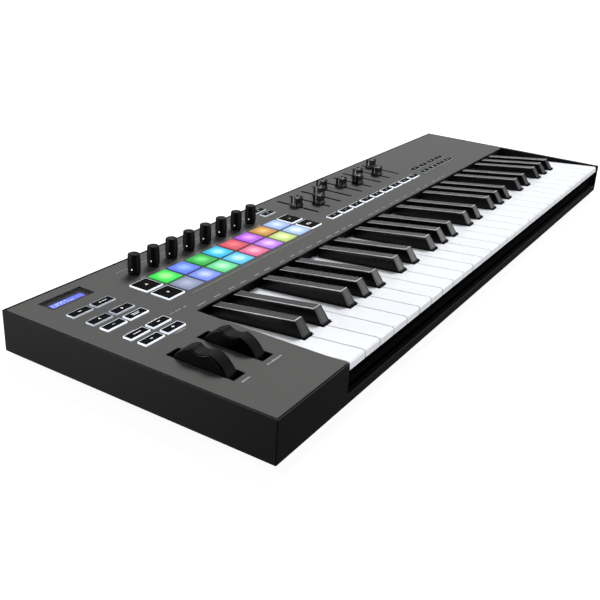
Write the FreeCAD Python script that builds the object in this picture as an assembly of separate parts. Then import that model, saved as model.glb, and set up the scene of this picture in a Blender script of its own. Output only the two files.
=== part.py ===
import FreeCAD, Part
import math
import os

os.makedirs("parts", exist_ok=True)

# A 49-key controller keyboard, standing on four rubber feet.
# Frame: +X to the player's right, +Y to the rear, +Z up, origin in the middle of the footprint
# at the height of the table.  Layout numbers below are counted from the left outer face (x) and
# the front outer face (y); spot() moves them into the frame.  All lengths are millimetres.

# ---------------------------------------------------------------- body
BODY_W = 789.0
BODY_D = 258.0
FOOT_H = 5.0
BODY_H = 35.5
TOP = FOOT_H + BODY_H
PLATE_T = 2.6
PLATE_Z = TOP - PLATE_T
WALL = 3.0
FLOOR_T = 2.5
FLOOR_Z = FOOT_H + FLOOR_T
RIM = 0.8
GROOVE = 1.1
PLATE_IN = RIM + GROOVE
BLOCK_W = 92.1
CHEEK_T = 2.5
RIGHT_X = 784.2
PANEL_Y = 141.0
LIP_T = 2.0
LIP_Z = TOP - 9.5
RAIL_H = 8.8
RAIL_D = 5.0
CORNER_R = 1.0
EDGE_C = 0.3
OVER = 1.0

# ---------------------------------------------------------------- keys
KEY_PITCH = 23.636
KEYS_X = 92.8
OCTAVES = 4
OCTAVE_STEPS = 7
KEY_GAP = 0.9
CUT_GAP = 1.0
KEY_AXIS_Y = 180.0
KEY_AXIS_Z = 23.5
KEY_TILT = 4.56
KEY_TRAVEL = 3.4
KEY_UP = 3.3
KEY_DOWN = 3.5
KEY_FRONT = 0.0
SHARP_W = 12.0
SHARP_OFFSET_OUTER = 2.1
SHARP_OFFSET_INNER = 2.5
SHARP_FOOT_Y = 48.4
SHARP_FOOT_STEP = 2.1
SHARP_BROW_Y = 57.6
SHARP_REAR_Y = 137.5
SHARP_FOOT_H = 1.5
SHARP_BROW_H = 13.2
SHARP_REAR_H = 8.9
SHARP_DRAFT = 0.075
CUT_Y = 47.2
STEM_Y = 148.0
TAIL_W = 8.5
HUB_R = 3.5
AXLE_R = 1.5
AXLE_FIT = 0.06
SKIN = 1.6
KEY_SKIN_TOP = 2.0
RIB_Y0, RIB_Y1 = 103.0, 109.0
NOSE_R = 2.4
HOOK_W = 5.0
HOOK_Y0, HOOK_Y1 = 134.0, 136.0
HOOK_TOE_Y = 129.0
HOOK_LEN = 9.4
HOOK_TOE_T = 1.5
# name, left white boundary inside the octave, side the sharp leans to
SHARPS = (("keys_c_sharp", 1, -SHARP_OFFSET_OUTER), ("keys_d_sharp", 2, SHARP_OFFSET_OUTER),
          ("keys_f_sharp", 4, -SHARP_OFFSET_INNER), ("keys_g_sharp", 5, 0.0),
          ("keys_a_sharp", 6, SHARP_OFFSET_INNER))
NATURALS = ("keys_c", "keys_d", "keys_e", "keys_f", "keys_g", "keys_a", "keys_b")

# ---------------------------------------------------------------- controls on the panel
COL = 24.34
PAD_W, PAD_D = 21.6, 21.2
PAD_X0 = 127.43
PAD_ROWS = (("pads_rear", 203.8), ("pads_front", 180.0))
PAD_COLS = 8
PAD_PROUD = 1.2
PAD_FIT = 0.4
CAP_PROUD = 1.4
CAP_FIT = 0.3
FLANGE = 0.8
FLANGE_Z0, FLANGE_Z1 = 36.4, 37.6
PLUNGER_Z = 34.4
PLUNGER_W = 3.0
BOARD_Z0, BOARD_Z1 = 31.0, 32.6
SWITCH_W, SWITCH_H = 6.0, 0.6
LEFT_COLS = (33.3, 57.3)
LEFT_ROWS = (208.4, 187.6, 172.9, 149.7, 135.3)
LEFT_SIZE = (20.8, 8.8)
SQUARE_SIZE = (20.0, 20.0)
SQUARE_X = (103.1, 321.5)
MODE_SIZE = (18.6, 8.0)
MODE_SPOTS = ((320.5, 243.3), (320.5, 231.0))
FADER_X0 = 362.7
FADERS = 9
FADER_CAP_SIZE = (20.4, 8.6)
FADER_CAP_Y = 173.4
TRANSPORT_X0 = 591.2
TRANSPORT_ROWS = (187.1, 173.2)
TRANSPORT_SIZE = (19.6, 8.2)
TRANSPORT_COLS = 4
KNOB_X0 = 115.0
KNOB_Y = 228.3
KNOB_STEP = 24.3
KNOBS = 8
KNOB_H = 19.4
KNOB_TOP_R = 5.3
KNOB_BASE_R = 5.8
KNOB_GAP = 0.6
KNOB_SHAFT_R = 3.0
KNOB_BORE_R = 3.06
KNOB_SHAFT_H = 13.0
KNOB_HOLE_R = 3.6
POT_W = 9.6
SLOT_Y0, SLOT_Y1 = 193.5, 247.3
SLOT_W = 4.0
LEVER_L, LEVER_T = 7.0, 1.2
LEVER_Z = 34.0
FADER_SPOTS = (222.0, 208.3, 223.1, 234.4, 221.9, 213.1, 226.7, 212.6, 234.4)
GRIP_BASE = (14.0, 10.6)
GRIP_TOP = (12.6, 9.2)
GRIP_H = 11.2
GRIP_GAP = 0.8
GRIP_DISH_R = 8.2
GRIP_DISH = 2.2
GRIP_FOOT_H = 2.4
GRIP_POCKET_H = 5.5

# ---------------------------------------------------------------- display
GLASS_X0, GLASS_X1 = 23.8, 67.9
GLASS_Y0, GLASS_Y1 = 227.3, 245.4
GLASS_T = 1.2
GLASS_SINK = 0.4
GLASS_LEDGE = 1.5

# ---------------------------------------------------------------- wheels
WHEEL_R = 27.5
WHEEL_W = 12.4
WHEEL_Y = 82.4
WHEEL_Z = TOP - 13.9
WHEEL_X = (29.25, 63.3)
WHEEL_SLOT_W = 14.0
WHEEL_SLOT_Y0, WHEEL_SLOT_Y1 = 51.5, 112.2
WHEEL_HUB_R = 6.0
WHEEL_SHAFT_R = 1.95
WHEEL_BORE_R = 2.0
WHEEL_HALF_ANGLE = 100.0
WHEEL_CROWN = 1.2
NOTCH_R = 13.0
NOTCH_DEPTH = 3.8
NOTCH_EDGE = 2.6
RETURN_WIRE_R = 0.35
RETURN_R = 4.6
RETURN_LEG = 8.0
RETURN_STANDOFF = 1.4

# ---------------------------------------------------------------- fasteners, shared by every place
SCREW_HEAD_R, SCREW_HEAD_H = 2.8, 1.5
SCREW_R, SCREW_L = 1.5, 8.0
SCREW_HOLE_R = 1.6
BOSS_R = 3.6
DRIVE_R, DRIVE_DEPTH = 1.1, 0.8
COVER_SCREWS = ((12.0, 14.0), (80.0, 14.0), (12.0, 120.0), (80.0, 120.0), (10.0, 248.0),
                (349.0, 251.0), (575.0, 251.0), (740.0, 251.0), (575.0, 195.0), (740.0, 200.0))
FRAME_FRONT_SCREWS = ((120.0, 40.0), (438.0, 40.0), (756.0, 40.0))
FRAME_REAR_Y = 156.0
FRAME_REAR_GAPS = (2, 24, 46)
BRACKET_SCREWS = ((46.2, 62.0), (46.2, 104.0))
MAIN_SCREWS = ((66.0, 200.0), (194.0, 200.0), (66.0, 248.0), (194.0, 248.0))
PANEL_SCREWS = ((45.3, 161.0), (84.0, 206.0), (340.0, 206.0), (340.0, 172.0), (574.0, 178.0),
                (692.0, 178.0))
FOOT_SPOTS = ((40.0, 30.0), (749.0, 30.0), (40.0, 228.0), (749.0, 228.0))
FOOT_R = 8.0
FOOT_PEG_R = 2.5

# ---------------------------------------------------------------- sockets on the rear face
MAIN_BOARD = (60.0, 200.0, 194.0, 253.5)
MAIN_Z0, MAIN_Z1 = 12.0, 13.6
USB_X, USB_W, USB_H, USB_D = 95.0, 12.0, 11.0, 17.0
USB_MOUTH_W, USB_MOUTH_H, USB_MOUTH_D = 8.5, 7.8, 9.0
USB_TONGUE_W, USB_TONGUE_H, USB_TONGUE_SINK = 5.6, 3.2, 4.6
MIDI_X, MIDI_W, MIDI_D = 126.0, 20.0, 11.0
MIDI_R, MIDI_BORE_R, MIDI_DEPTH = 8.8, 7.4, 9.0
MIDI_PIN_R, MIDI_PIN_CIRCLE = 0.8, 4.8
MIDI_PIN_ANGLES = (180.0, 225.0, 270.0, 315.0, 360.0)
JACK_X, JACK_W, JACK_H, JACK_D = 155.0, 14.0, 13.0, 28.0
JACK_COLLAR_R, JACK_BORE_R, JACK_BORE_D = 5.4, 3.25, 28.0
SOCKET_FIT = 0.4
LOCK_X, LOCK_W, LOCK_H = 184.0, 7.0, 3.0
LOCK_Z = 22.0
SOCKET_FACE_Y = BODY_D - 0.6


def spot(x, y, z):
    """A layout position as a point of the shared frame."""
    return FreeCAD.Vector(x - BODY_W / 2, y - BODY_D / 2, z)


def block(x0, x1, y0, y1, z0, z1):
    """A box between two layout corners."""
    return Part.makeBox(x1 - x0, y1 - y0, z1 - z0, spot(x0, y0, z0))


def slab(cx, cy, size, z0, z1, corner=0.0, brow=0.0):
    """A box centred on (cx, cy), its upright edges and then its top edges rounded."""
    w, d = size
    shape = block(cx - w / 2, cx + w / 2, cy - d / 2, cy + d / 2, z0, z1)
    if corner > 0:
        upright = [e for e in shape.Edges if abs(e.tangentAt(e.FirstParameter).z) > 0.9]
        shape = shape.makeFillet(corner, upright)
    if brow > 0:
        rim = [e for e in shape.Edges if min(v.Z for v in e.Vertexes) > z1 - 0.001]
        shape = shape.makeFillet(brow, rim)
    return shape


def post(x, y, z0, z1, r):
    """An upright cylinder."""
    return Part.makeCylinder(r, z1 - z0, spot(x, y, z0))


def bar_x(x0, x1, y, z, r):
    """A cylinder lying along X."""
    return Part.makeCylinder(r, x1 - x0, spot(x0, y, z), FreeCAD.Vector(1, 0, 0))


def bar_y(x, y0, y1, z, r):
    """A cylinder lying along Y."""
    return Part.makeCylinder(r, y1 - y0, spot(x, y0, z), FreeCAD.Vector(0, 1, 0))


def prism_x(outline, x0, x1):
    """A (y, z) outline pushed along X."""
    points = [spot(x0, y, z) for y, z in outline]
    face = Part.Face(Part.makePolygon(points + points[:1]))
    return face.extrude(FreeCAD.Vector(x1 - x0, 0, 0))


def prism_y(outline, y0, y1):
    """An (x, z) outline pushed along Y."""
    points = [spot(x, y0, z) for x, z in outline]
    face = Part.Face(Part.makePolygon(points + points[:1]))
    return face.extrude(FreeCAD.Vector(0, y1 - y0, 0))


def joined(shapes):
    """Many touching solids as one."""
    return shapes[0].multiFuse(shapes[1:]).removeSplitter()


def save(node, shapes):
    """One STEP file per node; a list is written as a group of separate solids."""
    group = shapes if isinstance(shapes, list) else [shapes]
    solids = [s for shape in group for s in shape.Solids]
    Part.makeCompound(solids).exportStep("parts/" + node + ".step")


def key_height(y, local_z, travel):
    """Height of a point of a key that lies local_z above its own hinge line."""
    tilt = math.radians(KEY_TILT - travel)
    return KEY_AXIS_Z + (KEY_AXIS_Y - y) * math.sin(tilt) + local_z * math.cos(tilt)


# ---------------------------------------------------------------- where every control sits
LEFT_SPOTS = [(x, y) for y in LEFT_ROWS for x in LEFT_COLS]
SQUARE_SPOTS = [(x, y) for x in SQUARE_X for _, y in PAD_ROWS]
FADER_CAP_SPOTS = [(FADER_X0 + i * COL, FADER_CAP_Y) for i in range(FADERS)]
TRANSPORT_SPOTS = [(TRANSPORT_X0 + i * COL, y) for y in TRANSPORT_ROWS for i in range(TRANSPORT_COLS)]
BUTTONS = {"left_buttons": [(x, y, LEFT_SIZE) for x, y in LEFT_SPOTS],
           "pad_buttons": [(x, y, SQUARE_SIZE) for x, y in SQUARE_SPOTS]
           + [(x, y, MODE_SIZE) for x, y in MODE_SPOTS],
           "fader_buttons": [(x, y, FADER_CAP_SIZE) for x, y in FADER_CAP_SPOTS],
           "transport_buttons": [(x, y, TRANSPORT_SIZE) for x, y in TRANSPORT_SPOTS]}
KNOB_SPOTS = [(KNOB_X0 + i * KNOB_STEP, KNOB_Y) for i in range(KNOBS)]
PAD_XS = [PAD_X0 + i * COL for i in range(PAD_COLS)]


# ---------------------------------------------------------------- keys: plan of the whole row
def octave_x(octave, step):
    """x of the white boundary number step of an octave."""
    return KEYS_X + (octave * OCTAVE_STEPS + step) * KEY_PITCH


def sharp_span(octave, step, lean):
    """Left and right side of a black key at its foot."""
    middle = octave_x(octave, step) + lean
    return middle - SHARP_W / 2, middle + SHARP_W / 2


def natural_span(octave, step):
    """Wide part and stem of a white key: x0, x1, stem x0, stem x1."""
    x0 = octave_x(octave, step) + KEY_GAP / 2
    x1 = octave_x(octave, step + 1) - KEY_GAP / 2
    stem0, stem1 = x0, x1
    last = octave == OCTAVES
    for _, at, lean in SHARPS:
        left, right = sharp_span(octave, at, lean)
        if at == step:
            stem0 = right + CUT_GAP
        if at == step + 1 and not last:
            stem1 = left - CUT_GAP
    return x0, x1, stem0, stem1


# every key as (node, stem middle), from left to right
ROW = []
for octave in range(OCTAVES):
    for step, node in enumerate(NATURALS):
        _, _, s0, s1 = natural_span(octave, step)
        ROW.append((node, (s0 + s1) / 2))
    for node, at, lean in SHARPS:
        ROW.append((node, sum(sharp_span(octave, at, lean)) / 2))
_, _, s0, s1 = natural_span(OCTAVES, 0)
ROW.append((NATURALS[0], s0 + KEY_PITCH * 0.3))
ROW.sort(key=lambda item: item[1])
TAIL_XS = [x for _, x in ROW]
POST_XS = [(a + b) / 2 for a, b in zip(TAIL_XS, TAIL_XS[1:])]
POST_XS = [TAIL_XS[0] - KEY_PITCH * 0.3] + POST_XS + [TAIL_XS[-1] + KEY_PITCH * 0.3]
# the rear screws of the key frame stand between two key tails, clear of the spring fingers
FRAME_SCREWS = FRAME_FRONT_SCREWS + tuple((POST_XS[i], FRAME_REAR_Y) for i in FRAME_REAR_GAPS)


def key_tail(x):
    """Hub, tail and stop hook every key shares, drawn level."""
    z0, z1 = KEY_AXIS_Z - KEY_DOWN, KEY_AXIS_Z + KEY_UP
    x0, x1 = x - TAIL_W / 2, x + TAIL_W / 2
    tail = block(x0, x1, STEM_Y - OVER, KEY_AXIS_Y, z0, z1)
    hub = bar_x(x0, x1, KEY_AXIS_Y, KEY_AXIS_Z, HUB_R)
    h0, h1 = x - HOOK_W / 2, x + HOOK_W / 2
    leg = block(h0, h1, HOOK_Y0, HOOK_Y1, z0 - HOOK_LEN, z1 - KEY_SKIN_TOP)
    toe = block(h0, h1, HOOK_TOE_Y, HOOK_Y1, z0 - HOOK_LEN, z0 - HOOK_LEN + HOOK_TOE_T)
    return [tail, hub, leg, toe]


def finish_key(shape, x):
    """Bore for the axle, then the lift of a key at rest."""
    bore = bar_x(x - TAIL_W, x + TAIL_W, KEY_AXIS_Y, KEY_AXIS_Z, AXLE_R + AXLE_FIT)
    shape = shape.cut(bore)
    shape.rotate(spot(0, KEY_AXIS_Y, KEY_AXIS_Z), FreeCAD.Vector(1, 0, 0), -KEY_TILT)
    return shape


def natural_key(x0, x1, stem0, stem1, x):
    """A white key: hollow moulding with a rounded nose and sides cleared for the black keys."""
    z0, z1 = KEY_AXIS_Z - KEY_DOWN, KEY_AXIS_Z + KEY_UP
    front = block(x0, x1, KEY_FRONT, CUT_Y, z0, z1)
    stem = block(stem0, stem1, CUT_Y - OVER, STEM_Y, z0, z1)
    shell = joined([front, stem])
    nose = [e for e in shell.Edges
            if max(v.Y for v in e.Vertexes) < spot(0, KEY_FRONT, 0).y + 0.01
            and min(v.Z for v in e.Vertexes) > z1 - 0.01]
    shell = shell.makeFillet(NOSE_R, nose)
    rim = [e for e in shell.Edges
           if min(v.Z for v in e.Vertexes) > z1 - 0.01
           and max(v.Y for v in e.Vertexes) - min(v.Y for v in e.Vertexes) > OVER]
    shell = shell.makeFillet(0.5, rim)
    roof = z1 - KEY_SKIN_TOP
    hollows = [block(x0 + SKIN, x1 - SKIN, KEY_FRONT + SKIN + 0.6, CUT_Y - SKIN, z0 - OVER, roof),
               block(stem0 + SKIN, stem1 - SKIN, CUT_Y - SKIN - OVER, RIB_Y0, z0 - OVER, roof),
               block(stem0 + SKIN, stem1 - SKIN, RIB_Y1, STEM_Y - SKIN, z0 - OVER, roof)]
    for hollow in hollows:
        shell = shell.cut(hollow)
    return finish_key(joined([shell] + key_tail(x)), x)


def sharp_key(x):
    """A black key: drafted sides, sloping face, a small step at its foot."""
    z0, z1 = KEY_AXIS_Z - KEY_DOWN, KEY_AXIS_Z + KEY_UP
    foot_y = SHARP_FOOT_Y
    outline = [(foot_y, z0), (foot_y, z1 + SHARP_FOOT_H), (foot_y + SHARP_FOOT_STEP, z1 + SHARP_FOOT_H),
               (SHARP_BROW_Y, z1 + SHARP_BROW_H), (SHARP_REAR_Y, z1 + SHARP_REAR_H),
               (SHARP_REAR_Y, z1), (STEM_Y, z1), (STEM_Y, z0)]
    bar = prism_x(outline, x - SHARP_W / 2, x + SHARP_W / 2)
    high = z1 + SHARP_BROW_H + OVER
    lean = SHARP_DRAFT * (high - z1)
    w = SHARP_W / 2
    tent = prism_y([(x - w, z0), (x - w, z1), (x - w + lean, high), (x + w - lean, high),
                    (x + w, z1), (x + w, z0)], foot_y - OVER, STEM_Y + OVER)
    bar = bar.common(tent).removeSplitter()
    low_top = z1 + SHARP_REAR_H - 0.01
    ridge = [e for e in bar.Edges if min(v.Z for v in e.Vertexes) > low_top]
    bar = bar.makeFillet(0.8, ridge)
    roof = z1 - KEY_SKIN_TOP
    hollows = [block(x - w + SKIN, x + w - SKIN, foot_y + SKIN, RIB_Y0, z0 - OVER, roof),
               block(x - w + SKIN, x + w - SKIN, RIB_Y1, STEM_Y - SKIN, z0 - OVER, roof)]
    for hollow in hollows:
        bar = bar.cut(hollow)
    return finish_key(joined([bar] + key_tail(x)), x)


def make_keys():
    """Twelve groups, one per note name, so that neighbouring keys never share a group."""
    groups = {node: [] for node in NATURALS}
    for octave in range(OCTAVES):
        for step, node in enumerate(NATURALS):
            x0, x1, a, b = natural_span(octave, step)
            groups[node].append(natural_key(x0, x1, a, b, (a + b) / 2))
    x0, x1, a, b = natural_span(OCTAVES, 0)
    groups[NATURALS[0]].append(natural_key(x0, x1, a, b, TAIL_XS[-1]))
    for node, at, lean in SHARPS:
        first = sharp_key(sum(sharp_span(0, at, lean)) / 2)
        shift = OCTAVE_STEPS * KEY_PITCH
        groups[node] = []
        for octave in range(OCTAVES):
            key = first.copy()
            key.translate(FreeCAD.Vector(octave * shift, 0, 0))
            groups[node].append(key)
    for node, keys in groups.items():
        save(node, keys)


# ---------------------------------------------------------------- keybed below the keys
FRAME_X0, FRAME_X1 = KEYS_X + 0.6, 783.4
FRAME_Y0, FRAME_Y1 = 8.0, 188.0
PAN_Z = FLOOR_Z + 2.0
APRON_T = 2.5
APRON_Z = 20.0
DOWN_STOP = (58.0, 70.0)
UP_STOP = (127.0, 133.0)
FELT_GAP = 0.2
FELT_T = 1.5
UP_FELT_T = 1.2
BEAM_T = 3.2
BOARD_Y = (92.0, 120.0)
CONTACT_Z0, CONTACT_Z1 = 15.0, 16.6
RUBBER_Y = (98.0, 114.0)
RUBBER_Z = 18.0
DOME_R = 3.0
POST_T = 2.4
POST_Y0, POST_Y1 = 175.0, 186.5
POST_TOP = KEY_AXIS_Z + 4.0
SPRING_T = 0.6
SPRING_BASE = (141.0, 150.0)
SPRING_TIP_Y = 163.0
SPRING_W = 5.0


def make_keybed():
    """Frame, axle, springs, contact strip and felts."""
    under = -KEY_DOWN
    down_z = key_height(DOWN_STOP[1], under, KEY_TRAVEL) - FELT_GAP
    toe_top = key_height(UP_STOP[0], under - HOOK_LEN + HOOK_TOE_T, 0.0)
    up_z0 = toe_top + FELT_GAP
    up_z1 = up_z0 + UP_FELT_T
    beam_z = up_z1 + BEAM_T
    parts = [block(FRAME_X0, FRAME_X1, FRAME_Y0, FRAME_Y1, FLOOR_Z, PAN_Z),
             block(FRAME_X0, FRAME_X1, FRAME_Y0, FRAME_Y0 + APRON_T, FLOOR_Z, APRON_Z),
             block(FRAME_X0, FRAME_X1, DOWN_STOP[0] + 2.0, DOWN_STOP[1] - 2.0, FLOOR_Z, down_z - FELT_T),
             block(FRAME_X0, FRAME_X1, BOARD_Y[0], BOARD_Y[0] + WALL, FLOOR_Z, CONTACT_Z0),
             block(FRAME_X0, FRAME_X1, BOARD_Y[1] - WALL, BOARD_Y[1], FLOOR_Z, CONTACT_Z0),
             block(FRAME_X0, FRAME_X1, UP_STOP[0], UP_STOP[1], up_z1, beam_z)]
    for x in [POST_XS[0], POST_XS[-1]] + POST_XS[6:-6:6]:
        parts.append(block(x - POST_T / 2, x + POST_T / 2, UP_STOP[0], UP_STOP[1], FLOOR_Z, beam_z))
    for x in POST_XS:
        parts.append(block(x - POST_T / 2, x + POST_T / 2, POST_Y0, POST_Y1, FLOOR_Z, POST_TOP))
    for x, y in FRAME_SCREWS:
        parts.append(post(x, y, FLOOR_Z, FLOOR_Z + SCREW_L, BOSS_R))
    frame = joined(parts)
    axle_x0, axle_x1 = POST_XS[0] - POST_T, POST_XS[-1] + POST_T
    frame = frame.cut(bar_x(axle_x0 - OVER, axle_x1 + OVER, KEY_AXIS_Y, KEY_AXIS_Z, AXLE_R))
    for x, y in FRAME_SCREWS:
        frame = frame.cut(post(x, y, FLOOR_Z - OVER, FLOOR_Z + SCREW_L, SCREW_R))
    save("key_frame", frame)
    save("key_axle", bar_x(axle_x0, axle_x1, KEY_AXIS_Y, KEY_AXIS_Z, AXLE_R))
    felts = [block(FRAME_X0, FRAME_X1, DOWN_STOP[0], DOWN_STOP[1], down_z - FELT_T, down_z),
             block(FRAME_X0, FRAME_X1, UP_STOP[0], UP_STOP[1], up_z0, up_z1)]
    for x in [POST_XS[0], POST_XS[-1]] + POST_XS[6:-6:6]:
        notch = block(x - POST_T, x + POST_T, UP_STOP[0] - OVER, UP_STOP[1] + OVER, up_z0 - OVER, up_z1)
        felts[1] = felts[1].cut(notch)
    save("stop_felts", felts)
    save("contact_board", block(FRAME_X0, FRAME_X1, BOARD_Y[0], BOARD_Y[1], CONTACT_Z0, CONTACT_Z1))
    dome_y = (RIB_Y0 + RIB_Y1) / 2
    dome_z = key_height(dome_y, under, KEY_TRAVEL) - FELT_GAP
    strip = [block(FRAME_X0 + 1, FRAME_X1 - 1, RUBBER_Y[0], RUBBER_Y[1], CONTACT_Z1, RUBBER_Z)]
    strip += [post(x, dome_y, RUBBER_Z - SPRING_T, dome_z, DOME_R) for x in TAIL_XS]
    save("contact_rubber", joined(strip))
    tip_z = key_height(SPRING_TIP_Y, under, KEY_TRAVEL) - FELT_GAP
    b0, b1 = SPRING_BASE
    finger = [(b1 - OVER, PAN_Z), (b1, PAN_Z), (SPRING_TIP_Y - 3.0, tip_z - SPRING_T),
              (SPRING_TIP_Y, tip_z - SPRING_T), (SPRING_TIP_Y, tip_z), (SPRING_TIP_Y - 3.2, tip_z),
              (b1 - OVER, PAN_Z + SPRING_T)]
    comb = [block(FRAME_X0 + 1, FRAME_X1 - 1, b0, b1, PAN_Z, PAN_Z + SPRING_T)]
    comb += [prism_x(finger, x - SPRING_W / 2, x + SPRING_W / 2) for x in TAIL_XS]
    comb = joined(comb)
    for x, y in FRAME_SCREWS:
        comb = comb.cut(post(x, y, PAN_Z - OVER, PAN_Z + OVER, BOSS_R + 0.5))
    save("key_springs", comb)


# ---------------------------------------------------------------- case
def make_case():
    """Tray with its walls, the left cheek, the front rail and the holes in floor and rear wall."""
    case = block(0, BODY_W, 0, BODY_D, FOOT_H, TOP)
    upright = [e for e in case.Edges if abs(e.tangentAt(e.FirstParameter).z) > 0.9]
    case = case.makeFillet(CORNER_R, upright)
    floor_rim = [e for e in case.Edges if max(v.Z for v in e.Vertexes) < FOOT_H + 0.01]
    case = case.makeChamfer(CORNER_R * 0.8, floor_rim)
    rear = BODY_D - WALL
    high = TOP + OVER
    case = case.cut(block(WALL, BLOCK_W - CHEEK_T, WALL, rear, FLOOR_Z, high))
    case = case.cut(block(WALL, RIGHT_X, PANEL_Y, rear, FLOOR_Z, high))
    case = case.cut(block(BLOCK_W, RIGHT_X, RAIL_D, PANEL_Y + OVER, FLOOR_Z, high))
    case = case.cut(block(BLOCK_W, RIGHT_X, -OVER, RAIL_D + OVER, FOOT_H + RAIL_H, high))
    case = case.cut(block(RIM, BLOCK_W, RIM, BODY_D - RIM, PLATE_Z, high))
    case = case.cut(block(RIM, BODY_W - RIM, PANEL_Y, BODY_D - RIM, PLATE_Z, high))
    rail_edge = [e for e in case.Edges
                 if abs(e.CenterOfMass.z - FOOT_H - RAIL_H) < 0.01
                 and abs(e.CenterOfMass.y - spot(0, 0, 0).y) < 0.01 and e.Length > BLOCK_W]
    case = case.makeChamfer(CORNER_R * 0.7, rail_edge)
    adds = [post(x, y, FLOOR_Z - OVER, MAIN_Z0, BOSS_R) for x, y in MAIN_SCREWS]
    case = joined([case] + adds)
    cuts = [post(x, y, MAIN_Z1 - SCREW_L - 0.2, MAIN_Z1, SCREW_R) for x, y in MAIN_SCREWS]
    for x, y in COVER_SCREWS + FRAME_SCREWS + BRACKET_SCREWS:
        cuts.append(post(x, y, FOOT_H - OVER, FLOOR_Z + OVER, SCREW_HOLE_R))
        cuts.append(post(x, y, FOOT_H - OVER, FOOT_H + SCREW_HEAD_H + 0.1, SCREW_HEAD_R + 0.3))
    cuts += [post(x, y, FOOT_H - OVER, FLOOR_Z + OVER, FOOT_PEG_R) for x, y in FOOT_SPOTS]
    y0, y1 = rear - OVER, BODY_D + OVER
    f = SOCKET_FIT
    cuts.append(block(USB_X - USB_W / 2 - f, USB_X + USB_W / 2 + f, y0, y1, MAIN_Z1 - f, MAIN_Z1 + USB_H + f))
    cuts.append(bar_y(MIDI_X, y0, y1, MAIN_Z1 + MIDI_W / 2, MIDI_R + f))
    cuts.append(bar_y(JACK_X, y0, y1, MAIN_Z1 + JACK_H / 2, JACK_COLLAR_R + f))
    cuts.append(block(LOCK_X - LOCK_W / 2, LOCK_X + LOCK_W / 2, y0, y1, LOCK_Z, LOCK_Z + LOCK_H))
    for tool in cuts:
        case = case.cut(tool)
    save("bottom_case", case)


def make_cover():
    """L-shaped top plate with every opening, the rear lip over the keys and the screw bosses."""
    y1 = BODY_D - PLATE_IN
    outline = [(PLATE_IN, PLATE_IN), (BLOCK_W, PLATE_IN), (BLOCK_W, PANEL_Y), (BODY_W - PLATE_IN, PANEL_Y),
               (BODY_W - PLATE_IN, y1), (PLATE_IN, y1)]
    points = [spot(x, y, PLATE_Z) for x, y in outline]
    plate = Part.Face(Part.makePolygon(points + points[:1])).extrude(FreeCAD.Vector(0, 0, PLATE_T))
    rim = [e for e in plate.Edges if min(v.Z for v in e.Vertexes) > TOP - 0.01]
    plate = plate.makeChamfer(EDGE_C, rim)
    plate = plate.cut(block(RIGHT_X, BODY_W, PANEL_Y - OVER, PANEL_Y + SOCKET_FIT, PLATE_Z - OVER, TOP + OVER))
    parts = [plate, block(BLOCK_W + 0.3, RIGHT_X - 0.3, PANEL_Y + 0.3, PANEL_Y + 0.3 + LIP_T, LIP_Z,
                          PLATE_Z + OVER)]
    parts += [post(x, y, FLOOR_Z, PLATE_Z + OVER, BOSS_R) for x, y in COVER_SCREWS]
    parts += [post(x, y, BOARD_Z1, PLATE_Z + OVER, BOSS_R) for x, y in PANEL_SCREWS]
    cover = joined(parts)
    z0, z1 = PLATE_Z - OVER, TOP + OVER
    cuts = []
    for group in BUTTONS.values():
        for x, y, (w, d) in group:
            cuts.append(slab(x, y, (w + 2 * CAP_FIT, d + 2 * CAP_FIT), z0, z1, 0.9))
    for _, y in PAD_ROWS:
        for x in PAD_XS:
            cuts.append(slab(x, y, (PAD_W + 2 * PAD_FIT, PAD_D + 2 * PAD_FIT), z0, z1, 1.4))
    cuts += [post(x, y, z0, z1, KNOB_HOLE_R) for x, y in KNOB_SPOTS]
    mid_y = (SLOT_Y0 + SLOT_Y1) / 2
    for i in range(FADERS):
        cuts.append(slab(FADER_X0 + i * COL, mid_y, (SLOT_W, SLOT_Y1 - SLOT_Y0), z0, z1, 0.8))
    wheel_mid = (WHEEL_SLOT_Y0 + WHEEL_SLOT_Y1) / 2
    for x in WHEEL_X:
        cuts.append(slab(x, wheel_mid, (WHEEL_SLOT_W, WHEEL_SLOT_Y1 - WHEEL_SLOT_Y0), z0, z1, 0.8))
    glass_z = TOP - GLASS_SINK - GLASS_T
    cuts.append(block(GLASS_X0, GLASS_X1, GLASS_Y0, GLASS_Y1, glass_z, z1))
    led = GLASS_LEDGE
    cuts.append(block(GLASS_X0 + led, GLASS_X1 - led, GLASS_Y0 + led, GLASS_Y1 - led, z0, z1))
    cuts += [post(x, y, FLOOR_Z - OVER, FLOOR_Z + SCREW_L, SCREW_R) for x, y in COVER_SCREWS]
    cuts += [post(x, y, BOARD_Z1 - OVER, BOARD_Z0 + SCREW_L + 0.2, SCREW_R) for x, y in PANEL_SCREWS]
    for tool in cuts:
        cover = cover.cut(tool)
    save("top_cover", cover)


# ---------------------------------------------------------------- buttons and pads
def make_buttons():
    """Caps with a flange below the plate and a short plunger over their switch."""
    for node, group in BUTTONS.items():
        caps = []
        for x, y, size in group:
            w, d = size
            cap = slab(x, y, size, FLANGE_Z0, TOP + CAP_PROUD, 0.7, 0.3)
            flange = slab(x, y, (w + 2 * FLANGE, d + 2 * FLANGE), FLANGE_Z0, FLANGE_Z1, 0.9)
            plunger = slab(x, y, (PLUNGER_W, PLUNGER_W), PLUNGER_Z, FLANGE_Z0 + OVER)
            caps.append(joined([cap, flange, plunger]))
        save(node, caps)
    for node, y in PAD_ROWS:
        pads = []
        for x in PAD_XS:
            pad = slab(x, y, (PAD_W, PAD_D), FLANGE_Z0, TOP + PAD_PROUD, 1.2, 0.5)
            flange = slab(x, y, (PAD_W + 1.2, PAD_D + 1.2), FLANGE_Z0, FLANGE_Z1, 1.2)
            plunger = slab(x, y, (PAD_W / 2, PAD_D / 2), PLUNGER_Z + 0.4, FLANGE_Z0 + OVER)
            pads.append(joined([pad, flange, plunger]))
        save(node, pads)


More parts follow.
